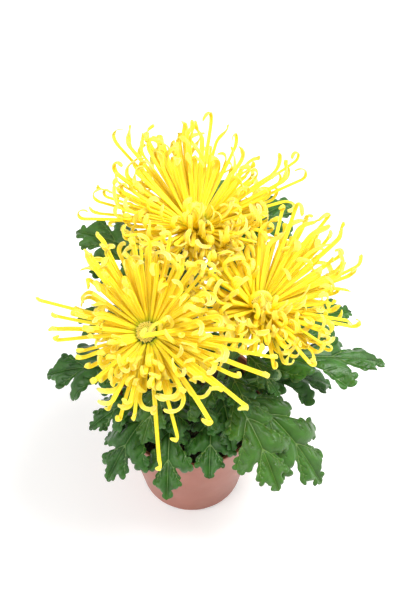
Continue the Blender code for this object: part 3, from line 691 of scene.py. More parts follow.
def rough_blade(midrib, leaf, extra=0.0):
    edge = [(0, 0), *leaf.outline, (0, 1), *[(-x, y) for x, y in reversed(leaf.outline)]]
    inner = [(0, y) for y in np.linspace(0, 1, len(leaf.outline) // 2 + 1)[1:-1]]
    border = [(i, (i + 1) % len(edge)) for i in range(len(edge))]
    rib = [0, *range(len(edge), len(edge) + len(inner)), len(leaf.outline) + 1]
    points, faces = two_sided([*edge, *inner], border + list(zip(rib, rib[1:])), midrib, leaf,
                              BLADE_THICKNESS / 2 + extra)
    return [Vector(p) for p in points], faces


def rough_petiole(midrib, extra=0.0):
    """The leaf's stalk, from inside the stem to the middle of the blade's base."""
    shares = (0, 0.5 * PETIOLE_SHARE, PETIOLE_SHARE, 1.9 * PETIOLE_SHARE)
    radii = [PETIOLE_RADIUS * share + extra for share in (1, 1, 0.8, 0.4)]
    return tube([along(midrib, share) for share in shares], radii, PETIOLE_SIDES)


def profile_tube(stem, profile, sides):
    """A turned shape round a bloom's axis from (radius, height) pairs in millimetres."""
    centre, _, _, facing = bloom_frame(stem)
    points = [centre + facing * height * MM for _, height in profile]
    return tube(points, [radius * MM for radius, _ in profile], sides)


def bud_stalk(name, bud):
    """The start, middle and end of a bud's stalk."""
    start, place = at_height(stem_line(STEMS[name]), bud.start * MM), Vector(bud.place) * MM
    return start, start.lerp(place, 0.6) - UP * 4 * MM, place


def bare_stem(name):
    """One stem with its cup and buds."""
    stem = STEMS[name]
    line = stem_line(stem)
    radii = np.interp(np.linspace(0, 1, len(line)), (0, 1), (STEM_FOOT_RADIUS, STEM_NECK_RADIUS))
    shapes = [tube(line, radii, STEM_SIDES), profile_tube(stem, CUP_PROFILE, CUP_SIDES)]
    for bud in BUDS.get(name, ()):
        stalk = bud_stalk(name, bud)
        facing = (stalk[2] - stalk[1]).normalized()
        radius = bud.radius * MM
        shapes.append(tube(stalk, [PETIOLE_RADIUS] * 3, PETIOLE_SIDES))
        shares = (-0.95, -0.55, 0, 0.55, 0.95)
        points = [stalk[2] + facing * radius * s for s in shares]
        shapes.append(tube(points, [radius * max(math.sqrt(1 - s * s), 0.3) for s in shares], BUD_SIDES))
    return shapes


def best_of(tries, others, own):
    """Each try is a choice, the room it takes up, and the room it needs among its own kind. Gives the first choice
    clear of the others and of its own kind, or else the first that is clear of the others."""
    fallback = None
    for choice, room, own_room in tries:
        if any(room.overlap(other) for other in others):
            continue
        if not any(own_room.overlap(found) for found in own):
            return choice
        fallback = fallback or choice
    return fallback


def leaf_tries(line, leaf):
    """The leaf with its tip swung round the pot in degrees, raised in millimetres and drawn in by a share."""
    for turn, rise, share in LEAF_MOVES:
        tip = Matrix.Rotation(math.radians(turn), 3, "Z") @ Vector(leaf.tip)
        moved = leaf._replace(tip=(tip.x * share, tip.y * share, tip.z + rise))
        midrib = leaf_midrib(line, moved)
        blade = rough_blade(midrib, moved, CLEARANCE)
        yield moved, tree([blade, rough_petiole(midrib, CLEARANCE)]), tree([blade])


def place_leaves(shapes, blockers):
    """The leaves of each stem, each bent clear of the blockers and of the other stems and their leaves, and where
    it can be of its own stem's leaves. Their rough shapes are added to the stems'."""
    placed = {name: [] for name in STEMS}
    own_leaves = {name: [] for name in STEMS}
    bare = {name: tree(found) for name, found in shapes.items()}
    for name, leaves in LEAVES.items():
        line = stem_line(STEMS[name])
        others = [found for other in STEMS if other != name for found in (bare[other], *own_leaves[other])]
        others += blockers
        for leaf in leaves:
            chosen = best_of(leaf_tries(line, leaf), others, own_leaves[name])
            if chosen:
                midrib = leaf_midrib(line, chosen)
                rough = [rough_blade(midrib, chosen), rough_petiole(midrib)]
                shapes[name] += rough
                own_leaves[name].append(tree(rough))
                placed[name].append(chosen)
    return placed


def hook_share(petal):
    """The share of a floret's length that its hook takes, never turning more tightly than it can."""
    tightest = math.radians(petal.hook) * TIGHTEST_HOOK
    return max(petal.curl * MM, tightest) / (petal.length * MM)


def petal_path(stem, petal, steps=PETAL_STEPS):
    """Centre line of a ray floret, out of the receptacle, along, and round its hook, with the way to the hook's
    inner side at each point."""
    centre, right, far, facing = bloom_frame(stem)
    step = petal.length * MM / steps
    hook_start = 1 - hook_share(petal)
    azimuth = math.radians(petal.azimuth)
    steep = math.radians(max(petal.lift, 1))
    past_disc = DISC_RADIUS + ROOT_GAP + PETAL_ROOT_RADIUS / math.sin(steep)
    past_disc -= (DISC_BASE - petal.root * MM) / math.tan(steep)
    place = centre + facing * petal.root * MM
    place += (spoke(right, far, azimuth)) * max(ROOT_INNER_RADIUS, past_disc)
    line, inner = [place], []
    for i in range(steps):
        share = (i + 0.5) / steps
        bent = max(0.0, share - hook_start) / (1 - hook_start)
        turn = math.radians(petal.lift + petal.bow * share * share + petal.hook * bent**1.2)
        round_about = azimuth + math.radians(petal.sway) * bent
        out = spoke(right, far, round_about)
        line.append(line[-1] + (out * math.cos(turn) + facing * math.sin(turn)) * step)
        inner.append(facing * math.cos(turn) - out * math.sin(turn))
    fall = petal.droop * petal.length * MM
    fallen = [p - UP * fall * (i / steps) ** 2 for i, p in enumerate(line)]
    return fallen, [inner[0], *inner]


def rough_petal(stem, petal, extra=0.0, begin=0.0):
    """A ray floret: thin at its root, wider along its length and widest in its hook."""
    hook = hook_share(petal)
    stations = [share * (1 - hook) for share in PETAL_BODY] + [1 - hook + share * hook for share in PETAL_HOOK]
    stations[0] = begin
    radii = np.interp(
        stations,
        (0, 1 - hook, 1 - hook / 2, 1),
        (PETAL_ROOT_RADIUS, PETAL_MIDDLE_RADIUS, PETAL_HOOK_RADIUS, PETAL_TIP_RADIUS),
    )
    line = petal_path(stem, petal)[0]
    return tube([line[round(s * PETAL_STEPS)] for s in stations], [r + extra for r in radii], PETAL_SIDES)


def petal_room(stem, petal, extra=CLEARANCE):
    """Search tree of a floret with room round it, without the first stretch, where all florets are close."""
    return tree([rough_petal(stem, petal, extra, CROWDED_SHARE)])


def tier_petals(tiers, seed, freedom=1.0, shortening=FRONT_SHORTENING):
    """The florets of the tiers, spread evenly round the bloom with small random changes."""
    draw = np.random.default_rng(seed)
    petals = []
    for number, tier in enumerate(tiers):
        for i in range(tier.count):
            azimuth = 360 * (i + 0.5 * (number % 2)) / tier.count + draw.normal(0, 2.5)
            front = max(0.0, -math.sin(math.radians(azimuth)))
            lift = max(tier.lift - FRONT_DROP * front, min(tier.lift, 0)) + draw.normal(0, tier.spread)
            length = tier.length * (1 - shortening * front) * (1 + draw.normal(0, 0.07) * freedom)
            hook = tier.hook + draw.normal(0, 30) * freedom
            curl, sway, bow = draw.uniform(12, 24), draw.normal(0, 30) * freedom, tier.bow + draw.normal(0, 10)
            petals.append(Petal(azimuth, lift, length, hook, curl, sway, 0.06, bow, tier.root))
    return petals


def extra_petals(name):
    """More florets between the model's. Half of them hook sideways, and the rest inwards."""
    draw = np.random.default_rng(SEEDS[name] + EXTRA_SEED)
    far_side, longer, near_side, shorter = EXTRA_REACH[name]
    extra = []
    for azimuth, lift, length, count in BUNCHES[name]:
        for _ in range(count):
            around, above = azimuth + draw.normal(0, 6), lift + draw.normal(0, 6)
            extra.append(Petal(around, above, length * (1 + draw.normal(0, 0.07)), 0, 0, 0, 0.02, 6, 0))
    for petal in tier_petals(EXTRA_TIERS, SEEDS[name] + EXTRA_TIER_SEED, EXTRA_FREEDOM, 0.0):
        reach = 1 + longer * max(0.0, math.cos(math.radians(petal.azimuth - far_side)))
        reach -= shorter * max(0.0, math.cos(math.radians(petal.azimuth - near_side))) ** 2
        extra.append(petal._replace(length=petal.length * reach))
    hooked = []
    for petal in extra:
        sideways = draw.uniform() < 0.5
        hook, sway = (draw.uniform(0, 70), draw.uniform(110, 220)) if sideways else (draw.uniform(90, 230), 50)
        sway *= draw.choice((-1, 1)) * draw.uniform(0.7, 1.1)
        hooked.append(petal._replace(hook=hook, curl=draw.uniform(12, 26), sway=sway))
    return hooked


def petal_tries(stem, petal, room):
    """The floret where it should be, and then a little aside, higher or shorter."""
    for aside, lift, share in NUDGES:
        raised = min(petal.lift + lift, STEEPEST)
        tried = petal._replace(azimuth=petal.azimuth + aside, lift=raised, length=petal.length * share)
        fat = petal_room(stem, tried, room)
        yield tried, fat, fat


def set_petals(waiting, trees, obstacles, room=CLEARANCE):
    """Sets florets one by one, each bent clear of the obstacles and of the other blooms, and of its own bloom's
    florets where it can be. A floret that nowhere clears the other blooms is left out."""
    placed = {name: [] for name in STEMS}
    for name, petal in waiting:
        others = [found for other in STEMS if other != name for found in trees[other]] + [obstacles]
        chosen = best_of(petal_tries(STEMS[name], petal, room), others, trees[name])
        if chosen:
            placed[name].append(chosen)
            trees[name].append(petal_room(STEMS[name], chosen, room))
    return placed


def rough_disc(stem):
    """The low dome of disc florets, its top raised and sunk in turn."""
    centre, right, far, facing = bloom_frame(stem)
    points = [centre + facing * (DISC_BASE + DISC_HEIGHT * 0.8)]
    faces = []
    for ring in range(1, DISC_RINGS + 1):
        share = ring / DISC_RINGS
        for step in range(DISC_STEPS):
            angle = math.tau * (step + 0.5 * (ring % 2)) / DISC_STEPS
            relief = 0.12 * DISC_HEIGHT * (1 if (step + ring) % 2 else -1)
            height = DISC_HEIGHT * math.cos(share * DOME_BEND) + relief
            out = spoke(right, far, angle)
            points.append(centre + out * DISC_RADIUS * share + facing * (DISC_BASE + height))
    low = len(points)
    for step in range(DISC_STEPS):
        angle = math.tau * (step + 0.5 * (DISC_RINGS % 2)) / DISC_STEPS
        out = spoke(right, far, angle)
        points.append(centre + out * DISC_RADIUS + facing * DISC_BASE)
    for step in range(DISC_STEPS):
        following = (step + 1) % DISC_STEPS
        faces.append((0, 1 + step, 1 + following))
        for ring in range(DISC_RINGS):
            a, b = 1 + ring * DISC_STEPS + step, 1 + ring * DISC_STEPS + following
            faces.append((a, a + DISC_STEPS, b + DISC_STEPS))
            faces.append((a, b + DISC_STEPS, b))
    faces.append(tuple(reversed(range(low, low + DISC_STEPS))))
    return points, faces


def stays_below(stem, petal, top):
    return max(point.z for point in petal_path(stem, petal)[0]) < top


@functools.cache
def lay_out():
    """Where every leaf and floret goes: the model's own, in its order, and then the extra florets, apart from any
    that stands too far above the model. It is worked out once, since it takes a while."""
    green = {name: bare_stem(name) for name in STEMS}
    discs = [rough_disc(stem) for stem in STEMS.values()]
    pot_outline = tube([(0, 0, 0), (0, 0, POT_HEIGHT + CLEARANCE)], [POT_BASE_RADIUS, POT_RIM_RADIUS], POT_STEPS)
    leaves = place_leaves(green, [tree([pot_outline]), tree(discs)])
    obstacles = tree([shape for shapes in green.values() for shape in shapes] + discs)
    trees = {name: [] for name in STEMS}
    waiting = [(name, petal) for name in STEMS for petal in LONG_PETALS[name]]
    waiting += [(name, petal) for name in STEMS for petal in tier_petals(TIERS[name], SEEDS[name])]
    petals = set_petals(waiting, trees, obstacles)
    waiting = [(name, petal) for name in STEMS for petal in extra_petals(name)]
    extra = set_petals(waiting, trees, obstacles, EXTRA_CLEARANCE)
    top = CAD_BOX[1][2] + EXTRA_RISE
    for name, stem in STEMS.items():
        petals[name] += [petal for petal in extra[name] if stays_below(stem, petal, top)]
    return leaves, petals


# Pot


def turned(name, profile, steps, finish):
    """A solid turned round the Z axis from (radius, height) points that start and end on the axis."""
    builder = bmesh.new()
    corners = [builder.verts.new((r, 0, z)) for r, z in profile]
    edges = [builder.edges.new(pair) for pair in zip(corners, corners[1:])]
    bmesh.ops.spin(
        builder, geom=corners + edges, cent=(0, 0, 0), axis=(0, 0, 1), angle=math.tau, steps=steps, use_merge=True
    )
    bmesh.ops.remove_doubles(builder, verts=builder.verts, dist=0.001 * MM)
    bmesh.ops.recalc_face_normals(builder, faces=builder.faces)
    mesh = bpy.data.meshes.new(name)
    builder.to_mesh(mesh)
    builder.free()
    mesh.shade_smooth()
    mesh.set_sharp_from_angle(angle=math.radians(35))
    mesh.materials.append(finish)
    made = bpy.data.objects.new(name, mesh)
    bpy.context.scene.collection.objects.link(made)
    return made


def arc(centre, radius, start, end, steps):
    """Points of an arc, its angles in degrees."""
    turns = np.radians(np.linspace(start, end, steps + 1)).tolist()
    return [(centre[0] + radius * math.cos(a), centre[1] + radius * math.sin(a)) for a in turns]


def pot_profile():
    """The wall's section from the middle of the underside, up the outside, over the lip and down the inside."""
    lip_foot = POT_HEIGHT - LIP_HEIGHT
    inner_top = POT_RIM_RADIUS - LIP_STEP - POT_WALL
    outside = arc((wall_radius(POT_CORNER) - POT_CORNER, POT_CORNER), POT_CORNER, -90, 0, CORNER_STEPS)
    lip = [(wall_radius(lip_foot), lip_foot), (POT_RIM_RADIUS - LIP_ROUND / 2, lip_foot + LIP_ROUND / 4)]
    lip += arc((POT_RIM_RADIUS - LIP_ROUND, lip_foot + LIP_ROUND), LIP_ROUND, -45, 0, 3)
    lip += arc((POT_RIM_RADIUS - LIP_ROUND, POT_HEIGHT - LIP_ROUND), LIP_ROUND, 0, 90, CORNER_STEPS)
    lip += arc((inner_top + LIP_ROUND, POT_HEIGHT - LIP_ROUND), LIP_ROUND, 90, 180, CORNER_STEPS)
    hollow = wall_radius(POT_CORNER) - POT_WALL
    inside = arc((hollow - POT_CORNER, POT_CORNER + POT_FLOOR), POT_CORNER, 0, -90, CORNER_STEPS)
    return [(0, 0), *outside, *lip, *inside, (0, POT_FLOOR)]


def notch_boxes():
    """The blocks that cut the openings in the lower edge."""
    shapes = Gathered()
    for number in range(NOTCHES):
        turn = Matrix.Rotation(math.tau * (number + 0.5) / NOTCHES, 3, "Z")
        corners = [
            turn @ Vector((x, y, z))
            for x in (NOTCH_INNER_RADIUS, POT_RIM_RADIUS)
            for y in (-NOTCH_WIDTH / 2, NOTCH_WIDTH / 2)
            for z in (-NOTCH_HEIGHT, NOTCH_HEIGHT)
        ]
        box = ((0, 1, 3, 2), (4, 6, 7, 5), (0, 4, 5, 1), (2, 3, 7, 6), (0, 2, 6, 4), (1, 5, 7, 3))
        shapes.add(corners, box)
    return shapes


def applied(made):
    """Puts the object's modifiers into its mesh."""
    graph = bpy.context.evaluated_depsgraph_get()
    whole = bpy.data.meshes.new_from_object(made.evaluated_get(graph))
    made.modifiers.clear()
    made.data = whole


def build_pot(settings):
    pot = turned("pot_shell", pot_profile(), settings.steps, pot_finish(settings))
    cutter = notch_boxes().make("notches", pot.data.materials[0])
    boolean = pot.modifiers.new("cut", "BOOLEAN")
    boolean.operation = "DIFFERENCE"
    boolean.object = cutter
    bevel = pot.modifiers.new("rounded_edges", "BEVEL")
    bevel.width = 0.15 * MM
    bevel.segments = 1
    bevel.limit_method = "ANGLE"
    bevel.angle_limit = math.radians(50)
    applied(pot)
    bpy.data.objects.remove(cutter)
    pot.data.set_sharp_from_angle(angle=math.radians(40))
    stands_for(pot, "pot")


def pot_finish(settings):
    """Moulded plastic: faintly mottled, finely pitted, with pale dust where water has dried."""
    finish = Finish("moulded_plastic", IOR=1.48, Specular_IOR_Level=0.35)
    cloud = finish.noise(35, 4)
    fine = finish.noise(900, 2)
    colour = finish.blend(finish.rise(cloud, 0.3, 0.7), settings.colour, settings.dark)
    dusty = finish.rise(finish.noise(60, 6), 0.52, 0.75) * 0.35
    colour = finish.blend(dusty, colour, settings.dust)
    rough = 0.3 + 0.12 * cloud + 0.18 * dusty
    return finish.feed(Base_Color=colour, Roughness=rough, Normal=finish.bump(fine, 0.05 * MM, 0.5))


# Potting mix


def soil_height(x, y):
    """Lumpy top of the mix, in metres above its mean height."""
    coarse = np.sin(310 * x + 1) * np.cos(270 * y) + 0.6 * np.sin(520 * (x - y))
    fine = 0.35 * np.sin(1400 * x + 900 * y) * np.cos(1250 * y - 700 * x) + 0.2 * np.sin(2300 * x - 2100 * y)
    return SOIL_BUMP * (coarse + fine)


def build_soil(settings):
    """The mix fills the pot to below its rim. Its top is lumpy, with bits of bark and fibre lying in it."""
    rim = wall_radius(SOIL_TOP) - POT_WALL - SEAT_GAP
    rings, steps = SOIL_RINGS, SOIL_STEPS
    turn = even_turns(steps)
    points = [(0, 0, SOIL_TOP)]
    for ring in range(1, rings + 1):
        radius = rim * ring / rings
        x, y = radius * np.cos(turn), radius * np.sin(turn)
        edge = min(1.0, (rings - ring) / 4)
        points += np.stack([x, y, SOIL_TOP + soil_height(x, y) * edge], axis=1).tolist()
    low = (
        (wall_radius(POT_CORNER) - POT_WALL - 2 * SEAT_GAP, POT_CORNER + POT_FLOOR + SEAT_GAP),
        (wall_radius(POT_CORNER) - POT_WALL - POT_CORNER - SEAT_GAP, POT_FLOOR + SEAT_GAP),
    )
    for radius, height in low:
        points += np.stack([radius * np.cos(turn), radius * np.sin(turn), np.full(steps, height)], axis=1).tolist()
    points.append((0, 0, POT_FLOOR + SEAT_GAP))
    faces = []
    for step in range(steps):
        following = (step + 1) % steps
        faces.append((0, 1 + step, 1 + following))
        for ring in range(rings + len(low) - 1):
            a, b = 1 + ring * steps + step, 1 + ring * steps + following
            faces.append((a, a + steps, b + steps, b))
        last = 1 + (rings + len(low) - 1) * steps
        faces.append((last + step, len(points) - 1, last + following))
    shapes = Gathered("tone")
    shapes.add(points, faces, tone=0.3)
    draw = np.random.default_rng(CRUMB_SEED)
    feet = np.array([stem.foot for stem in STEMS.values()]) * MM
    for _ in range(settings.crumbs):
        radius, angle = (rim - 2.5 * MM) * math.sqrt(draw.uniform()), draw.uniform(0, math.tau)
        place = np.array([radius * math.cos(angle), radius * math.sin(angle)])
        if np.min(np.linalg.norm(feet - place, axis=1)) < 6 * MM:
            continue
        size = draw.uniform(*CRUMB_SIZES) * MM
        lump_points, lump_faces = crumb(draw, size)
        height = SOIL_TOP + float(soil_height(place[0], place[1])) + 0.15 * size
        shapes.add(lump_points + np.array([*place, height]), lump_faces, tone=draw.uniform())
    stands_for(shapes.make("potting_mix", soil_finish(settings), 60), "soil")


def crumb(draw, size):
    """An irregular bit of bark or peat round the origin."""
    rings = []
    stretch = draw.uniform(0.5, 1.6, 3)
    for share in (-0.9, -0.3, 0.4, 0.9):
        ring = circle(6, draw.uniform(0, 1)) * math.sqrt(1 - share * share) * draw.uniform(0.75, 1.25, (6, 1))
        rings.append(np.column_stack([ring, np.full(6, share)]))
    points = np.vstack(rings) * stretch * size / 2
    spin = Matrix.Rotation(draw.uniform(0, math.tau), 3, Vector(draw.normal(size=3)).normalized())
    return points @ np.array(spin).T, closed_rings(len(rings), 6)


def soil_finish(settings):
    finish = Finish("damp_mix")
    tone = finish.value("tone")
    grain = finish.noise(1400, 6)
    colour = finish.blend(finish.rise(tone + 0.5 * grain, 0.3, 1.3), settings.dark, settings.light)
    return finish.feed(
        Base_Color=colour, Roughness=0.78 + 0.2 * grain, Normal=finish.bump(grain, 0.6 * MM, 0.9)
    )


# Leaves


def leaf_scale(midrib, leaf):
    """Millimetres to one length across the blade and along it."""
    line = plain(midrib)
    run = float(np.linalg.norm(line[-1] - line[0]))
    reach = float(np.linalg.norm(np.diff(line, axis=0), axis=1).sum())
    return np.array([run * leaf.width, reach]) * (1 - PETIOLE_SHARE) / MM


def toothed_half(leaf, scale, draw):
    """One half of the blade's edge from its base to its tip, in millimetres, with rounded teeth on its lobes."""
    corners = np.array([(0, 0), *leaf.outline, (0, 1)]) * scale
    length = np.linalg.norm(np.diff(corners, axis=0), axis=1).sum()
    line = smooth_line(corners, int(length * 1.06 / EDGE_STEP))
    ahead = directions(line)
    outward = np.stack([ahead[:, 1], -ahead[:, 0]], axis=1)
    x, y = (line / scale).T
    run = np.concatenate([[0], np.cumsum(np.linalg.norm(np.diff(line, axis=0), axis=1))])
    phase = run / (TOOTH_WIDTH * scale[1] / TOOTH_BLADE) + 0.25 * np.sin(run / 7.0 + draw.uniform(0, 6))
    lobed = np.clip((x - 0.13) / 0.07, 0, 1) + np.clip((y - 0.76) / 0.08, 0, 1) * np.clip((1 - y) / 0.05, 0, 1)
    weight = np.clip(lobed, 0, 1) * np.clip(y / 0.12, 0, 1)
    saw = phase % 1.0
    tooth = np.sin(math.pi * saw**1.2) ** 0.6 - 0.6
    return line + outward * (TOOTH_HEIGHT * scale[1] / TOOTH_BLADE * weight * tooth)[:, None]


def vein_lines(leaf, scale):
    """The blade's veins as (points in millimetres, half width at the start, half width at the end)."""
    lobes = SMALL_LOBES if leaf.outline is SMALL_OUTLINE else BIG_LOBES
    veins = [(np.array([(0, 0), (0, 0.985)]) * scale, 0.55, 0.12)]
    for mirror in (1, -1):
        for start, tip in lobes:
            begin = np.array([0.0, start])
            end = np.array([mirror * tip[0], tip[1]])
            bend = begin + (end - begin) * (0.5, 0.34)
            shares = np.linspace(0, 1, 9)[:, None]
            lateral = (1 - shares) ** 2 * begin + 2 * shares * (1 - shares) * bend + shares**2 * end
            lateral = lateral * scale
            veins.append((lateral, 0.34, 0.1))
            reach = np.linalg.norm(lateral[-1] - lateral[0])
            for share, hand in ((0.32, 1), (0.45, -1), (0.6, 1), (0.72, -1), (0.84, 1)):
                foot = sampled(lateral, [share])[0]
                ahead = unit(sampled(lateral, [share + 0.05])[0] - foot)
                turn = math.radians(42) * hand
                way = np.array([
                    ahead[0] * math.cos(turn) - ahead[1] * math.sin(turn),
                    ahead[0] * math.sin(turn) + ahead[1] * math.cos(turn),
                ])
                veins.append((np.array([foot, foot + way * reach * 0.36 * (1.15 - share)]), 0.16, 0.06))
    return veins


def inside(spots, edge):
    """Whether each spot lies inside a closed outline."""
    after = np.roll(edge, -1, axis=0)
    x, y = spots[:, :1], spots[:, 1:]
    level = (edge[:, 1] > y) != (after[:, 1] > y)
    rise = after[:, 1] - edge[:, 1]
    rise = np.where(rise == 0, 1e-12, rise)
    crossing = x < edge[:, 0] + (after[:, 0] - edge[:, 0]) * (y - edge[:, 1]) / rise
    return (level & crossing).sum(axis=1) % 2 == 1


def distance(spots, start, end):
    """How far each spot is from each stretch, and the share along it of the nearest point."""
    run = end - start
    squared = np.maximum((run * run).sum(axis=1), 1e-12)
    share = np.clip(((spots[:, None] - start) * run).sum(axis=2) / squared, 0, 1)
    nearest = start + share[..., None] * run
    return np.linalg.norm(spots[:, None] - nearest, axis=2), share


def vein_field(spots, veins):
    """Distance in millimetres of each spot from the nearest vein's edge, and from the nearest thick vein."""
    fields = []
    for points, first, last in veins:
        gap, share = distance(spots, points[:-1], points[1:])
        place = (share + np.arange(len(points) - 1)) / (len(points) - 1)
        fields.append((gap - (first + (last - first) * place)).min(axis=1))
    fields = np.array(fields)
    thick = [first > 0.3 for _, first, _ in veins]
    return fields.min(axis=0), fields[thick].min(axis=0)


def eased(share):
    """A smooth step from 0 to 1."""
    share = np.clip(share, 0, 1)
    return share * share * (3 - 2 * share)


def fine_blade(midrib, leaf, grid, quilt, draw):
    """The leaf's blade with toothed lobes, sunken veins and the blade bulging between them."""
    scale = leaf_scale(midrib, leaf)
    right, left = toothed_half(leaf, scale, draw), toothed_half(leaf, scale, draw)
    edge = np.vstack([right, (left * (-1, 1))[-2:0:-1]])
    veins = vein_lines(leaf, scale)
    low, high = edge.min(axis=0), edge.max(axis=0)
    columns = np.arange(low[0], high[0], grid)
    rows = np.arange(low[1], high[1], grid * 0.866)
    spots = np.array([(x + grid / 2 * (i % 2), y) for i, y in enumerate(rows) for x in columns])
    spots = spots[inside(spots, edge)]
    to_edge = distance(spots, edge, np.roll(edge, -1, axis=0))[0].min(axis=1)
    near_vein = vein_field(spots, [(p, 0, 0) for p, _, _ in veins[:1]] + [(p, 0.31, 0) for p, _, _ in veins[1:]])
    spots = spots[(to_edge > grid * 0.45) & (near_vein[0] > grid * 0.1)]
    flat, edges = list(edge), [(i, (i + 1) % len(edge)) for i in range(len(edge))]
    for points, _, _ in veins:
        reach = np.linalg.norm(np.diff(points, axis=0), axis=1).sum()
        run = sampled(points, np.linspace(0.01, 0.985, max(3, int(reach / grid))))
        run = run[inside(run, edge)]
        edges += [(i, i + 1) for i in range(len(flat), len(flat) + len(run) - 1)]
        flat += list(run)
    flat += list(spots)
    spots, _, top, *_ = delaunay_2d_cdt([Vector(p) for p in flat], edges, [], 1, 1e-5)
    spots = plain(spots)
    vein, thick = vein_field(spots, veins)
    to_edge = distance(spots, edge, np.roll(edge, -1, axis=0))[0].min(axis=1)
    places, normals = blade_points(midrib, leaf, spots / scale)
    relief = quilt * (0.75 * eased(thick / 6.5) + 0.25 * eased(vein / 4.0)) * np.clip(0.25 + to_edge / 3, 0, 1)
    ruffle = np.sin(spots[:, 1] * 0.42 + spots[:, 0] * 0.3) * np.sin(spots[:, 0] * 0.35 - 1)
    relief += MM * (0.9 * ruffle - 0.8) * np.exp(-to_edge / 2.2) * np.clip(np.abs(spots[:, 0]) / 5, 0, 1)
    rib = 0.55 * MM * np.exp(-((np.maximum(thick, 0) / 0.5) ** 2)) * np.clip(to_edge / 4, 0, 1)
    half = LEAF_THICKNESS / 2 * np.clip(0.45 + to_edge / 1.5, 0, 1)
    sheets, walls = two_sheets(top, len(spots))
    points = np.vstack([
        places + normals * (relief + half)[:, None],
        places + normals * (relief - half - rib)[:, None],
    ])
    numbers = {
        "vein": np.tile(vein, 2),
        "under": np.repeat([0.0, 1.0], len(spots)),
        "leaf_x": np.tile(spots[:, 0], 2),
        "leaf_y": np.tile(spots[:, 1], 2),
    }
    return points, sheets + walls, numbers


def fine_petiole(midrib):
    """The leaf's stalk, grooved along its upper side, which runs out under the blade as its midrib."""
    line = plain(midrib)
    shares = np.linspace(0.01, 0.5, 26)
    points = sampled(line, shares)
    normals = np.cross(np.cross(directions(points), (0, 0, 1)), directions(points))
    radii = np.interp(shares, (0, 0.06, PETIOLE_SHARE, 0.5), (1.75, 1.15, 0.95, 0.3)) * MM
    sink = np.interp(shares, (0, PETIOLE_SHARE, 0.3, 0.5), (0, 0.1, 0.7, 0.45))
    turn = even_turns(12)
    ring = circle(12)
    groove = 1 - 0.38 * np.exp(-((np.angle(np.exp(1j * (turn - math.pi / 2))) / 0.5) ** 2))
    sections = radii[:, None, None] * (ring * groove[:, None])
    return swept(points - unit(normals) * (sink * radii)[:, None], normals, sections)


# Stems, cups and buds


def fine_stem(name, leaves):
    """The stem, ridged lengthwise and swollen where its leaves leave it."""
    stem = STEMS[name]
    line = plain(stem_line(stem, 90))
    shares = np.linspace(0, 1, 110)
    points = sampled(line, shares)
    radii = np.interp(shares, (0, 1), (STEM_FOOT_RADIUS, STEM_NECK_RADIUS)) * 0.97
    for leaf in leaves:
        radii *= 1 + 0.16 * np.exp(-(((points[:, 2] - leaf.start * MM) / (2.5 * MM)) ** 2))
    return round_sweep(points, radii, 18, 6, 0.05)


def scale_strip(feet, middles, tips, width, thickness, out):
    """A pointed scale over a foot, middle and tip, its back towards out."""
    line = smooth_line([feet, middles, tips], 7)
    normals = np.tile(out, (7, 1))
    widths = width * np.array([0.75, 0.95, 1.0, 0.9, 0.7, 0.42, 0.1])
    depth = thickness * np.array([1, 1, 1, 0.9, 0.8, 0.6, 0.3])
    ring = np.array([(-0.5, 0.0), (-0.3, -0.5), (0.3, -0.5), (0.5, 0.0), (0.28, 0.5), (0.0, 0.75), (-0.28, 0.5)])
    sections = np.stack([ring[:, 0] * widths[:, None], ring[:, 1] * depth[:, None]], axis=2)
    return swept(line, normals, sections)


def add_cup(shapes, stem):
    """The green cup under a bloom, a turned core with rows of pointed bracts that overlap on it."""
    centre, right, far, facing = plain(bloom_frame(stem))
    profile = smooth_line([(r, h) for r, h in CUP_PROFILE], 18)
    points = centre + facing * profile[:, 1:] * MM
    shapes.add(*round_sweep(points, profile[:, 0] * MM * 0.97, 28), tone=0.5, vein=1.0)
    heights = profile[:, 1]
    for count, foot, tip, offset, phase in CUP_ROWS:
        for k in range(count):
            angle = math.tau * (k + phase) / count
            out = spoke(right, far, angle)
            spots = []
            for height in (foot, (foot + tip) / 2, tip):
                radius = np.interp(height, heights, profile[:, 0]) + offset
                spots.append(centre + facing * height * MM + out * radius * MM)
            shapes.add(*scale_strip(*spots, 2.5 * MM, 0.5 * MM, out), tone=0.6, vein=1.0, hairy=0.4)


def add_bud(shapes, name, bud, draw):
    """A closed bud on its stalk: rows of woolly bracts that curve over a round body, and florets on top."""
    stalk = bud_stalk(name, bud)
    shapes.add(*round_sweep(smooth_line(stalk, 16), np.full(16, 1.15 * MM), 10), vein=1.0, hairy=0.5)
    axis = (stalk[2] - stalk[1]).normalized()
    centre, facing, right = plain((stalk[2], axis, axis.orthogonal().normalized()))
    radius = bud.radius * MM
    far = np.cross(facing, right)
    shares = np.linspace(-0.98, 0.96, 12)
    points = centre + facing * (shares * radius)[:, None]
    shapes.add(*round_sweep(points, radius * 0.93 * np.sqrt(1 - shares**2), 18), vein=1.0, hairy=0.8)
    for row, (count, low, high) in enumerate(BUD_ROWS):
        for k in range(count):
            angle = math.tau * (k + 0.5 * (row % 2)) / count + draw.normal(0, 0.05)
            out = spoke(right, far, angle)
            spots = []
            for share, proud in ((low, 0.95), ((low + high) / 2, 1.03), (high, 1.0 + 0.06 * draw.uniform())):
                flat = math.sqrt(max(1 - share * share, 0.02))
                spots.append(centre + (facing * share + out * flat) * radius * proud)
            shapes.add(*scale_strip(*spots, 0.55 * radius, 0.12 * radius, out), tone=0.8, vein=1.0, hairy=1.0)
    for k in range(24):
        reach = 0.42 * math.sqrt((k + 0.5) / 24)
        out = spoke(right, far, GOLDEN_ANGLE * k)
        foot = centre + (facing * (0.9 - 0.4 * reach) + out * reach) * radius
        tip = foot + (facing + out * 0.5 * reach) * radius * 0.22
        shapes.add(
            *round_sweep(np.array([foot, (foot + tip) / 2, tip]), np.array([0.08, 0.1, 0.04]) * radius, 6),
            tone=1.0, vein=1.0, hairy=1.6,
        )


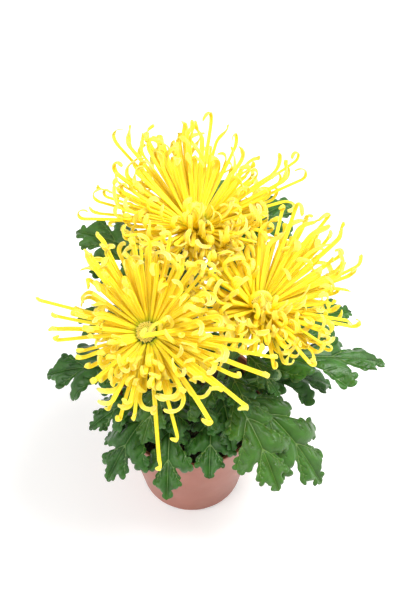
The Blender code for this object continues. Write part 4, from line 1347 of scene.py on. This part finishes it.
def add_hairs(shapes, line, radius, count, length, draw):
    """Short soft hairs that stand out all round a line."""
    ahead, across = directions(line), carried(line)
    other = np.cross(ahead, across)
    for _ in range(count):
        i = draw.integers(0, len(line))
        angle = draw.uniform(0, math.tau)
        out = across[i] * math.cos(angle) + other[i] * math.sin(angle)
        foot = line[i] + out * radius * 0.9
        tip = foot + unit(out + 0.5 * draw.normal(size=3)) * length * draw.uniform(0.6, 1.2)
        side = np.cross(out, ahead[i]) * 0.045 * MM
        end = ahead[i] * 0.04 * MM
        corners = [foot + side, foot - side * 0.5 + end, foot - side * 0.5 - end, tip]
        shapes.add(corners, [(0, 2, 1), (0, 1, 3), (1, 2, 3), (2, 0, 3)], vein=1.0, hairy=1.3)


def build_greenery(name, leaves, settings):
    """One stem with everything green that grows on it."""
    draw = np.random.default_rng(SEEDS[name])
    shapes = Gathered("vein", "under", "leaf_x", "leaf_y", "age", "hairy", "tone")
    line = stem_line(STEMS[name])
    shapes.add(*fine_stem(name, leaves), vein=1.0, hairy=0.5, tone=0.3)
    for leaf in leaves:
        midrib = leaf_midrib(line, leaf, 97)
        age = float(np.clip(draw.normal(0.35, 0.3), 0, 1))
        points, faces, numbers = fine_blade(midrib, leaf, settings.grid / MM, settings.quilt, draw)
        shapes.add(points, faces, age=age, **numbers)
        shapes.add(*fine_petiole(midrib), vein=-0.2, age=age, hairy=0.4, under=0.6)
    add_cup(shapes, STEMS[name])
    for bud in BUDS.get(name, ()):
        add_bud(shapes, name, bud, draw)
    upper = sampled(plain(line), np.linspace(0.3, 0.98, 120))
    add_hairs(shapes, upper, STEM_NECK_RADIUS, HAIRS, HAIR_LENGTH, draw)
    stands_for(shapes.make("greenery_" + name, foliage_finish(settings)), "stem_" + name)


def foliage_finish(settings):
    """Dark green leaves with pale thin veins and a painted sheen where they bulge, a pale reflection of the lamps
    painted into the colour; paler underneath.
    """
    made = bpy.data.materials.get("foliage_looks")
    if made:
        return made
    finish = Finish("foliage_looks", Subsurface_Weight=0.1, Subsurface_Scale=0.6 * MM, Specular_IOR_Level=0.3)
    vein, under, age = finish.value("vein"), finish.value("under"), finish.value("age")
    hairy, tone = finish.value("hairy"), finish.value("tone")
    place = finish.node("CombineXYZ", 0, (), {"X": finish.value("leaf_x"), "Y": finish.value("leaf_y")})
    net = finish.node(
        "TexVoronoi", "Distance", {"feature": "DISTANCE_TO_EDGE"},
        {"Vector": place, "Scale": 0.55, "Randomness": 0.9},
    )
    cloud = finish.noise(0.09, 4, place)
    net_line = 1 - finish.rise(net, 0.02, 0.12)
    main_line = 1 - finish.rise(vein, -0.25, 0.12)
    halo = 1 - finish.rise(vein, 0.1, 2.4)
    upper = finish.blend(finish.rise(cloud, 0.3, 0.7), settings.dark, settings.middle)
    upper = finish.blend(finish.rise(age, 0.45, 1.0), upper, settings.young)
    # Painted sheen: a pale reflection of the lamps painted on the upper side where it bulges, away from the veins.
    upper = finish.blend((1 - halo) * 0.24, upper, settings.painted_sheen_and_pale_clouds)
    upper = finish.blend(0.06 * net_line, upper, settings.young)
    upper = finish.blend(0.4 * main_line, upper, settings.vein)
    # The same colour also makes paler clouds on the underside.
    lower = finish.blend(finish.rise(cloud, 0.3, 0.7), settings.lower, settings.painted_sheen_and_pale_clouds)
    lower = finish.blend((0.5 * net_line).most(0.8 * main_line), lower, settings.vein)
    colour = finish.blend(under, upper, lower)
    woolly = finish.blend(finish.rise(hairy, 0.7, 1.6), settings.stalk, settings.wool)
    colour = finish.blend(finish.rise(hairy, 0.2, 0.4), colour, woolly)
    height = 0.35 * finish.rise(net, 0.0, 0.3) + 1.6 * finish.rise(vein, -0.2, 1.4) + 0.1 * finish.noise(3000, 2)
    rough = 0.28 + 0.28 * under + 0.14 * cloud + 0.1 * tone
    return finish.feed(Base_Color=colour, Roughness=rough, Normal=finish.bump(height, 0.3 * MM, 0.9))


# Blooms


def floret_sections(shares, hook, open_share, thick, phase):
    """The sections of a ray floret: a round quill that opens into a trough towards its hooked tip."""
    bent = np.clip((shares - (1 - hook * 1.35)) / (hook * 1.1), 0, 1)
    opened = 0.3 * np.clip((shares - 0.05) / 0.2, 0, 1)
    opened = opened + (open_share - opened) * bent * bent * (3 - 2 * bent)
    radii = np.interp(
        shares,
        (0, 0.2 - 0.2 * hook, 0.6 - 0.6 * hook, 1 - hook, 1 - 0.55 * hook, 1 - 0.2 * hook, 1 - 0.05 * hook, 1),
        (0.85, 1.15, 1.45, 1.35, 1.5, 1.45, 1.25, 0.75),
    )
    radii = radii * thick * MM * (1 + 0.09 * bent * np.sin(phase + 6 * (shares - 1) / hook))
    ruffle = 0.22 * bent * np.sin(2 * phase + 14 * (shares - 1) / hook)
    sections = []
    for radius, share, wave in zip(radii, opened, ruffle):
        lip = math.radians(28 + 48 * share)
        outer = np.linspace(math.pi / 2 + lip, math.tau + math.pi / 2 - lip, FLORET_OUTER)
        ring = np.stack([np.cos(outer), np.sin(outer)], axis=1) * FLORET_RIBS
        ring[0] += (-wave, wave)
        ring[-1] += (-wave, -wave)
        u = np.linspace(0, 1, FLORET_INNER + 2)[1:-1]
        cap = math.pi / 2 - lip + 2 * lip * u
        deep = math.pi / 2 - lip - (math.tau - 2 * lip) * u
        closed = np.stack([np.cos(cap), np.sin(cap)], axis=1)
        hollow = 0.68 * np.stack([np.cos(deep), np.sin(deep)], axis=1)
        inner = closed * (1 - share) + hollow * share
        ring = np.vstack([ring, inner]) * (1.12 + 0.34 * share, 0.82 - 0.4 * share)
        sections.append(ring * radius)
    return np.array(sections), opened


def fine_floret(stem, petal, body_rings, hook_rings, draw):
    line, inner = petal_path(stem, petal, 3 * PETAL_STEPS)
    line = plain(line)
    inner = plain(inner)
    hook = min(hook_share(petal), 0.8)
    shares = np.concatenate([
        np.linspace(0, 1 - hook, body_rings, endpoint=False),
        1 - hook + hook * np.linspace(0, 0.95, hook_rings),
        [1 - 0.015 * hook, 1],
    ])
    even = np.linspace(0, 1, len(line))
    points = np.stack([np.interp(shares, even, axis) for axis in line.T], axis=1)
    normals = np.stack([np.interp(shares, even, axis) for axis in inner.T], axis=1)
    points = points + normals * (0.5 * MM * shares**2 * np.sin(9 * shares + draw.uniform(0, 6)))[:, None]
    aside = np.cross(directions(points), normals)
    points = points + aside * (0.9 * MM * shares**2 * np.sin(7 * shares + draw.uniform(0, 6)))[:, None]
    open_share, thick, phase = draw.uniform(0.45, 1.0), draw.uniform(0.7, 1.08), draw.uniform(0, 6)
    sections, opened = floret_sections(shares, hook, open_share, thick, phase)
    bent = np.clip((shares - 1 + hook) / hook, 0, 1)
    roll = (draw.normal(0, 0.8) * bent + draw.normal(0, 0.3) * shares)[:, None]
    normals = unit(normals) * np.cos(roll) + unit(aside) * np.sin(roll)
    across = np.repeat([0.0, 1.0], (FLORET_OUTER, FLORET_INNER))
    edge = np.abs(np.concatenate([np.linspace(-1, 1, FLORET_OUTER), np.linspace(0.8, -0.8, FLORET_INNER)]))
    numbers = {
        "share": np.repeat(shares, FLORET_SIDES),
        "edge": np.tile(edge, len(shares)),
        "hook": np.repeat(bent, FLORET_SIDES),
        "within": np.tile(across, len(shares)) * np.repeat(opened, FLORET_SIDES),
        "tone": draw.uniform(),
    }
    places, faces = swept(points, normals, sections)
    # The tip ends in small blunt teeth.
    teeth = FLORET_TEETH * draw.uniform(0.4, 1.1) * thick
    teeth = directions(points)[-1] * teeth[:, None]
    places[-FLORET_SIDES:] += teeth
    places[-2 * FLORET_SIDES : -FLORET_SIDES] += teeth * 0.4
    return places, faces, numbers


def build_rays(name, petals, settings):
    """One bloom's ray florets on their receptacle."""
    stem = STEMS[name]
    draw = np.random.default_rng(SEEDS[name] + FLORET_SEED)
    shapes = Gathered("share", "edge", "hook", "within", "tone")
    centre, _, _, facing = plain(bloom_frame(stem))
    profile = smooth_line(RECEPTACLE_PROFILE, 8)
    shapes.add(*round_sweep(centre + facing * profile[:, 1:] * MM, profile[:, 0] * MM, 32), share=-1.0)
    for petal in petals:
        points, faces, numbers = fine_floret(stem, petal, settings.body_rings, settings.hook_rings, draw)
        shapes.add(points, faces, **numbers)
    stands_for(shapes.make("ray_florets_" + name, ray_finish(settings), 60), "rays_" + name)


def ray_finish(settings):
    """Satin yellow florets, greener at their roots and paler in their hooks, where the pale yellow is partly their
    own colour and partly painted highlight; painted highlights also run along their lips.
    """
    made = bpy.data.materials.get("ray_looks")
    if made:
        return made
    finish = Finish(
        "ray_looks", Subsurface_Weight=0.75, Subsurface_Scale=2.5 * MM, Subsurface_Radius=(1.0, 0.85, 0.2),
        Specular_IOR_Level=0.2,
    )
    share, hook = finish.value("share"), finish.value("hook")
    within, tone = finish.value("within"), finish.value("tone")
    body = finish.blend(finish.rise(tone, 0.0, 1.0), settings.deep, settings.yellow)
    place = finish.node(
        "CombineXYZ", 0, (), {"X": 5.0 * finish.value("edge"), "Y": 2.5 * share, "Z": 40.0 * tone}
    )
    streak = finish.noise(1.6, 3, place)
    body = finish.blend(0.4 * finish.rise(streak, 0.45, 0.7), body, settings.pale_streak_and_painted_highlight)
    middle = 1 - finish.rise(finish.value("edge"), 0.0, 0.4)
    body = finish.blend(0.4 * middle, body, settings.groove)
    # Painted highlights: pale yellow painted along the lips of each floret, where the lamps would catch them.
    edge = finish.rise(finish.value("edge"), 0.55, 1.0)
    body = finish.blend(0.6 * edge, body, settings.pale_streak_and_painted_highlight)
    body = finish.blend(1 - finish.rise(share, 0.0, 0.16), body, settings.root)
    # Pale yellow in the hooks: partly the hooks' own paler colour, partly painted highlight, strongest along their
    # lips.
    body = finish.blend(finish.rise(hook, 0.1, 0.8) * (0.1 + 0.35 * streak + 0.5 * edge), body, settings.tip)
    body = finish.blend(0.3 * within, body, settings.tip)
    body = finish.blend(1 - finish.rise(share, -0.5, -0.1), body, settings.receptacle)
    rough = 0.34 + 0.2 * streak
    return finish.feed(Base_Color=body, Roughness=rough, Normal=finish.bump(streak, 0.3 * MM, 0.7))


def build_disc(name, settings):
    """One bloom's disc: small tubular florets set in spirals over a low dome."""
    stem = STEMS[name]
    centre, right, far, facing = plain(bloom_frame(stem))
    draw = np.random.default_rng(SEEDS[name] + DISC_SEED)
    shapes = Gathered("middle", "mouth", "tone")
    reach = np.linspace(0, 1, 9)[::-1]
    dome = [(DISC_RADIUS * 0.98, DISC_BASE)]
    dome += [(DISC_RADIUS * 0.97 * r, DISC_BASE + 0.8 * DISC_HEIGHT * math.cos(r * DOME_BEND)) for r in reach[:-1]]
    points = np.array([centre + facing * h for _, h in dome])
    shapes.add(*round_sweep(points, [r for r, _ in dome], 32), middle=0.5, tone=-1.0)
    for k in range(settings.florets):
        share = math.sqrt((k + 0.5) / settings.florets)
        angle = GOLDEN_ANGLE * k
        out = spoke(right, far, angle)
        tilt = share * 0.75
        way = facing * math.cos(tilt) + out * math.sin(tilt)
        foot = centre + out * DISC_RADIUS * 0.94 * share
        foot = foot + facing * (DISC_BASE + 0.72 * DISC_HEIGHT * math.cos(share * DOME_BEND))
        open_share = np.clip((share - 0.45) / 0.3, 0, 1)
        tall = (0.6 + 1.1 * open_share + 0.15 * draw.normal()) * MM
        radius = DISC_FLORET_RADIUS
        levels = np.array([0, 0.55, 0.85, 1.0, 0.8])
        wide = np.array([0.8, 0.9, 1.0 + 0.25 * open_share, 0.6 + 0.9 * open_share, 0.3]) * radius
        star = 1 + 0.32 * open_share * np.cos(5 * even_turns(10))
        ring = circle(10, draw.uniform(0, 1))
        line = foot + way * (levels * tall)[:, None]
        sections = np.stack([ring * w * (star[:, None] if i in (2, 3) else 1) for i, w in enumerate(wide)])
        side = unit(np.cross(way, far))
        rings = line[:, None] + sections[..., :1] * side + sections[..., 1:] * np.cross(way, side)
        mouth = np.repeat([0, 0, 0.2, 0.5, 1], 10)
        shapes.add(rings.reshape(-1, 3), closed_rings(5, 10), middle=1 - share, mouth=mouth, tone=draw.uniform())
    stands_for(shapes.make("disc_florets_" + name, disc_finish(settings), 55), "disc_" + name)


def disc_finish(settings):
    made = bpy.data.materials.get("disc_looks")
    if made:
        return made
    finish = Finish("disc_looks", Subsurface_Weight=0.15, Subsurface_Scale=0.5 * MM)
    middle, mouth, tone = finish.value("middle"), finish.value("mouth"), finish.value("tone")
    colour = finish.blend(finish.rise(middle, 0.3, 0.6), settings.outer, settings.inner)
    colour = finish.blend(finish.rise(middle, 0.72, 0.95), colour, settings.heart)
    colour = finish.blend(0.5 * mouth, colour, settings.heart)
    colour = finish.blend(1 - finish.rise(tone, -0.5, -0.1), colour, settings.dome)
    grain = finish.noise(1800, 2)
    rough = 0.5 + 0.15 * tone
    return finish.feed(Base_Color=colour, Roughness=rough, Normal=finish.bump(grain, 0.06 * MM, 0.6))


# Stage


def floor_finish():
    finish = Finish("studio_floor", Roughness=0.9, Emission_Color=(1, 1, 1), Emission_Strength=0.3)
    return finish.feed(Base_Color=(0.82, 0.82, 0.82))


def add_light(name, place, size, strength):
    light = bpy.data.lights.new(name, "AREA")
    light.shape = "DISK"
    light.size = size
    light.energy = strength
    lamp = bpy.data.objects.new(name, light)
    lamp.location = place
    lamp.rotation_euler = (Vector(LIT_POINT) - Vector(place)).to_track_quat("-Z", "Y").to_euler()
    bpy.context.scene.collection.objects.link(lamp)


def build_stage(settings):
    """The camera at the photograph's angle, a pale floor, soft light from all round and two large lamps."""
    scene = bpy.context.scene
    camera = bpy.data.objects.new("camera", bpy.data.cameras.new("camera"))
    camera.data.lens = CAMERA_LENS
    camera.data.sensor_width = SENSOR_WIDTH
    camera.location = CAMERA_PLACE
    camera.rotation_euler = (math.radians(CAMERA_TILT), 0, 0)
    scene.collection.objects.link(camera)
    scene.camera = camera
    size = settings.floor_size
    floor = Gathered()
    floor.add([(-size, -size, 0), (size, -size, 0), (size, size, 0), (-size, size, 0)], [(0, 1, 2, 3)])
    floor.make("floor", floor_finish())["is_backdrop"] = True
    world = bpy.data.worlds.new("soft_daylight")
    world.use_nodes = True
    world.node_tree.nodes["Background"].inputs["Color"].default_value = (1, 1, 1, 1)
    world.node_tree.nodes["Background"].inputs["Strength"].default_value = settings.daylight
    scene.world = world
    add_light("key", (0.8, 0.15, 1.6), 1.1, settings.key)
    add_light("fill", (-1.1, -0.8, 1.2), 1.3, settings.key * 0.4)
    scene.view_settings.view_transform = "Standard"
    scene.view_settings.look = "None"


# Settings, operators and panel


def number(name, about, default, **more):
    return FloatProperty(name=name, description=about, default=default, **more)


def paint(name, about, default):
    return FloatVectorProperty(
        name=name, description=about, default=default, size=3, min=0, max=1, subtype="COLOR"
    )


class PotSettings(bpy.types.PropertyGroup):
    steps: IntProperty(name="Steps", description="Faces round the pot", default=144, min=16)
    colour: paint("Colour", "Main colour of the plastic", (0.34, 0.099, 0.058))
    dark: paint("Dark", "Colour of the plastic's darker clouds", (0.30, 0.083, 0.046))
    dust: paint("Dust", "Pale dust where water has dried", (0.43, 0.24, 0.17))


class SoilSettings(bpy.types.PropertyGroup):
    crumbs: IntProperty(name="Crumbs", description="Bits of bark and peat on the mix", default=800, min=0)
    dark: paint("Dark", "Colour of the wet mix", (0.012, 0.009, 0.007))
    light: paint("Light", "Colour of the driest bits", (0.09, 0.06, 0.04))


class FoliageSettings(bpy.types.PropertyGroup):
    grid: number("Grid", "Distance between the blade's points", 1.15 * MM, unit="LENGTH")
    quilt: number("Quilt", "How far the blade bulges between its veins", 2.4 * MM, unit="LENGTH")
    dark: paint("Dark", "Upper side of an old leaf", (0.006, 0.046, 0.001))
    middle: paint("Middle", "Lighter clouds on the upper side", (0.022, 0.110, 0.005))
    young: paint("Young", "Upper side of a young leaf", (0.10, 0.20, 0.015))
    # Painted sheen on the bulges of the upper side, standing in for the lamps' reflection; also the paler clouds
    # underneath.
    painted_sheen_and_pale_clouds: paint("Sheen", "Paler bloom on the bulges", (0.10, 0.23, 0.065))
    lower: paint("Lower", "Underside", (0.13, 0.24, 0.08))
    vein: paint("Vein", "Thin pale veins", (0.26, 0.38, 0.13))
    stalk: paint("Stalk", "Stems and stalks", (0.10, 0.20, 0.05))
    wool: paint("Wool", "Woolly buds and hairs", (0.36, 0.46, 0.25))


class RaySettings(bpy.types.PropertyGroup):
    body_rings: IntProperty(
        name="Body rings", description="Rings along a floret before its hook", default=9, min=3
    )
    hook_rings: IntProperty(name="Hook rings", description="Rings round a floret's hook", default=14, min=6)
    deep: paint("Deep", "Deepest yellow", (0.93, 0.66, 0.0))
    yellow: paint("Yellow", "Usual yellow", (0.95, 0.68, 0.0))
    # Paler streaks along a floret, and also the painted highlights along its lips.
    pale_streak_and_painted_highlight: paint("Pale", "Paler streaks along a floret", (1.0, 0.79, 0.08))
    groove: paint("Groove", "Deeper yellow along a floret's middle", (0.90, 0.62, 0.0))
    root: paint("Root", "Greener yellow at the roots", (0.50, 0.52, 0.01))
    receptacle: paint("Receptacle", "Green base that carries the florets", (0.07, 0.15, 0.01))
    # Pale yellow of the hooks, partly their own colour and partly painted highlight.
    tip: paint("Tip", "Pale yellow of the hooks", (1.0, 0.85, 0.30))


class DiscSettings(bpy.types.PropertyGroup):
    florets: IntProperty(name="Florets", description="Tubular florets on a disc", default=105, min=10)
    outer: paint("Outer", "Open florets", (0.96, 0.82, 0.14))
    inner: paint("Inner", "Florets that are still closed", (0.76, 0.70, 0.12))
    dome: paint("Dome", "Dome between the florets", (0.45, 0.42, 0.03))
    heart: paint("Heart", "Middle of the disc and the florets' mouths", (0.42, 0.27, 0.06))


class StageSettings(bpy.types.PropertyGroup):
    floor_size: number("Floor", "Half the width of the floor", 4.0, unit="LENGTH")
    daylight: number("Daylight", "Strength of the light from all round", 0.52)
    key: number("Key", "Strength of the main lamp in watts", 42.0)


class ChrysanthemumSettings(bpy.types.PropertyGroup):
    pot: PointerProperty(type=PotSettings)
    soil: PointerProperty(type=SoilSettings)
    foliage: PointerProperty(type=FoliageSettings)
    rays: PointerProperty(type=RaySettings)
    disc: PointerProperty(type=DiscSettings)
    stage: PointerProperty(type=StageSettings)


class CHRYSANTHEMUM_OT_pot(bpy.types.Operator):
    """Builds the moulded plastic pot"""

    bl_idname = "chrysanthemum.pot"
    bl_label = "Pot"

    def execute(self, context):
        build_pot(context.scene.chrysanthemum.pot)
        return {"FINISHED"}


class CHRYSANTHEMUM_OT_soil(bpy.types.Operator):
    """Builds the potting mix"""

    bl_idname = "chrysanthemum.soil"
    bl_label = "Potting mix"

    def execute(self, context):
        build_soil(context.scene.chrysanthemum.soil)
        return {"FINISHED"}


class CHRYSANTHEMUM_OT_stems(bpy.types.Operator):
    """Builds the stems with their leaves, their buds and the cups under the blooms"""

    bl_idname = "chrysanthemum.stems"
    bl_label = "Leafy stems"

    def execute(self, context):
        leaves, _ = lay_out()
        for name in STEMS:
            build_greenery(name, leaves[name], context.scene.chrysanthemum.foliage)
        return {"FINISHED"}


class CHRYSANTHEMUM_OT_rays(bpy.types.Operator):
    """Builds the ray florets of each bloom on their receptacle"""

    bl_idname = "chrysanthemum.rays"
    bl_label = "Ray florets"

    def execute(self, context):
        _, petals = lay_out()
        for name in STEMS:
            build_rays(name, petals[name], context.scene.chrysanthemum.rays)
        return {"FINISHED"}


class CHRYSANTHEMUM_OT_discs(bpy.types.Operator):
    """Builds the small tubular florets in the middle of each bloom"""

    bl_idname = "chrysanthemum.discs"
    bl_label = "Disc florets"

    def execute(self, context):
        for name in STEMS:
            build_disc(name, context.scene.chrysanthemum.disc)
        return {"FINISHED"}


class CHRYSANTHEMUM_OT_stage(bpy.types.Operator):
    """Sets up the camera, the floor and the light"""

    bl_idname = "chrysanthemum.stage"
    bl_label = "Stage"

    def execute(self, context):
        build_stage(context.scene.chrysanthemum.stage)
        return {"FINISHED"}


OPERATORS = (
    CHRYSANTHEMUM_OT_stage, CHRYSANTHEMUM_OT_pot, CHRYSANTHEMUM_OT_soil, CHRYSANTHEMUM_OT_stems,
    CHRYSANTHEMUM_OT_rays, CHRYSANTHEMUM_OT_discs,
)


class CHRYSANTHEMUM_PT_panel(bpy.types.Panel):
    """Lists the pieces in the sidebar"""

    bl_idname = "CHRYSANTHEMUM_PT_panel"
    bl_label = "Potted chrysanthemum"
    bl_space_type = "VIEW_3D"
    bl_region_type = "UI"
    bl_category = "Chrysanthemum"

    def draw(self, context):
        settings = context.scene.chrysanthemum
        for operator in OPERATORS:
            self.layout.operator(operator.bl_idname)
        for group in ("pot", "soil", "foliage", "rays", "disc", "stage"):
            box = self.layout.box()
            box.label(text=group.capitalize())
            for name in getattr(settings, group).__annotations__:
                box.prop(getattr(settings, group), name)


CLASSES = (
    PotSettings, SoilSettings, FoliageSettings, RaySettings, DiscSettings, StageSettings, ChrysanthemumSettings,
    *OPERATORS, CHRYSANTHEMUM_PT_panel,
)


def register():
    for cls in CLASSES:
        bpy.utils.register_class(cls)
    bpy.types.Scene.chrysanthemum = PointerProperty(type=ChrysanthemumSettings)


def unregister():
    del bpy.types.Scene.chrysanthemum
    for cls in reversed(CLASSES):
        bpy.utils.unregister_class(cls)


def main():
    register()
    bpy.ops.chrysanthemum.stage()
    bpy.ops.chrysanthemum.pot()
    bpy.ops.chrysanthemum.soil()
    bpy.ops.chrysanthemum.stems()
    bpy.ops.chrysanthemum.rays()
    bpy.ops.chrysanthemum.discs()
    boxes = {"cad": CAD_BOX, "visual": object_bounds()}
    {name: [list(corner) for corner in box] for name, box in boxes.items()}


if __name__ == "__main__":
    main()
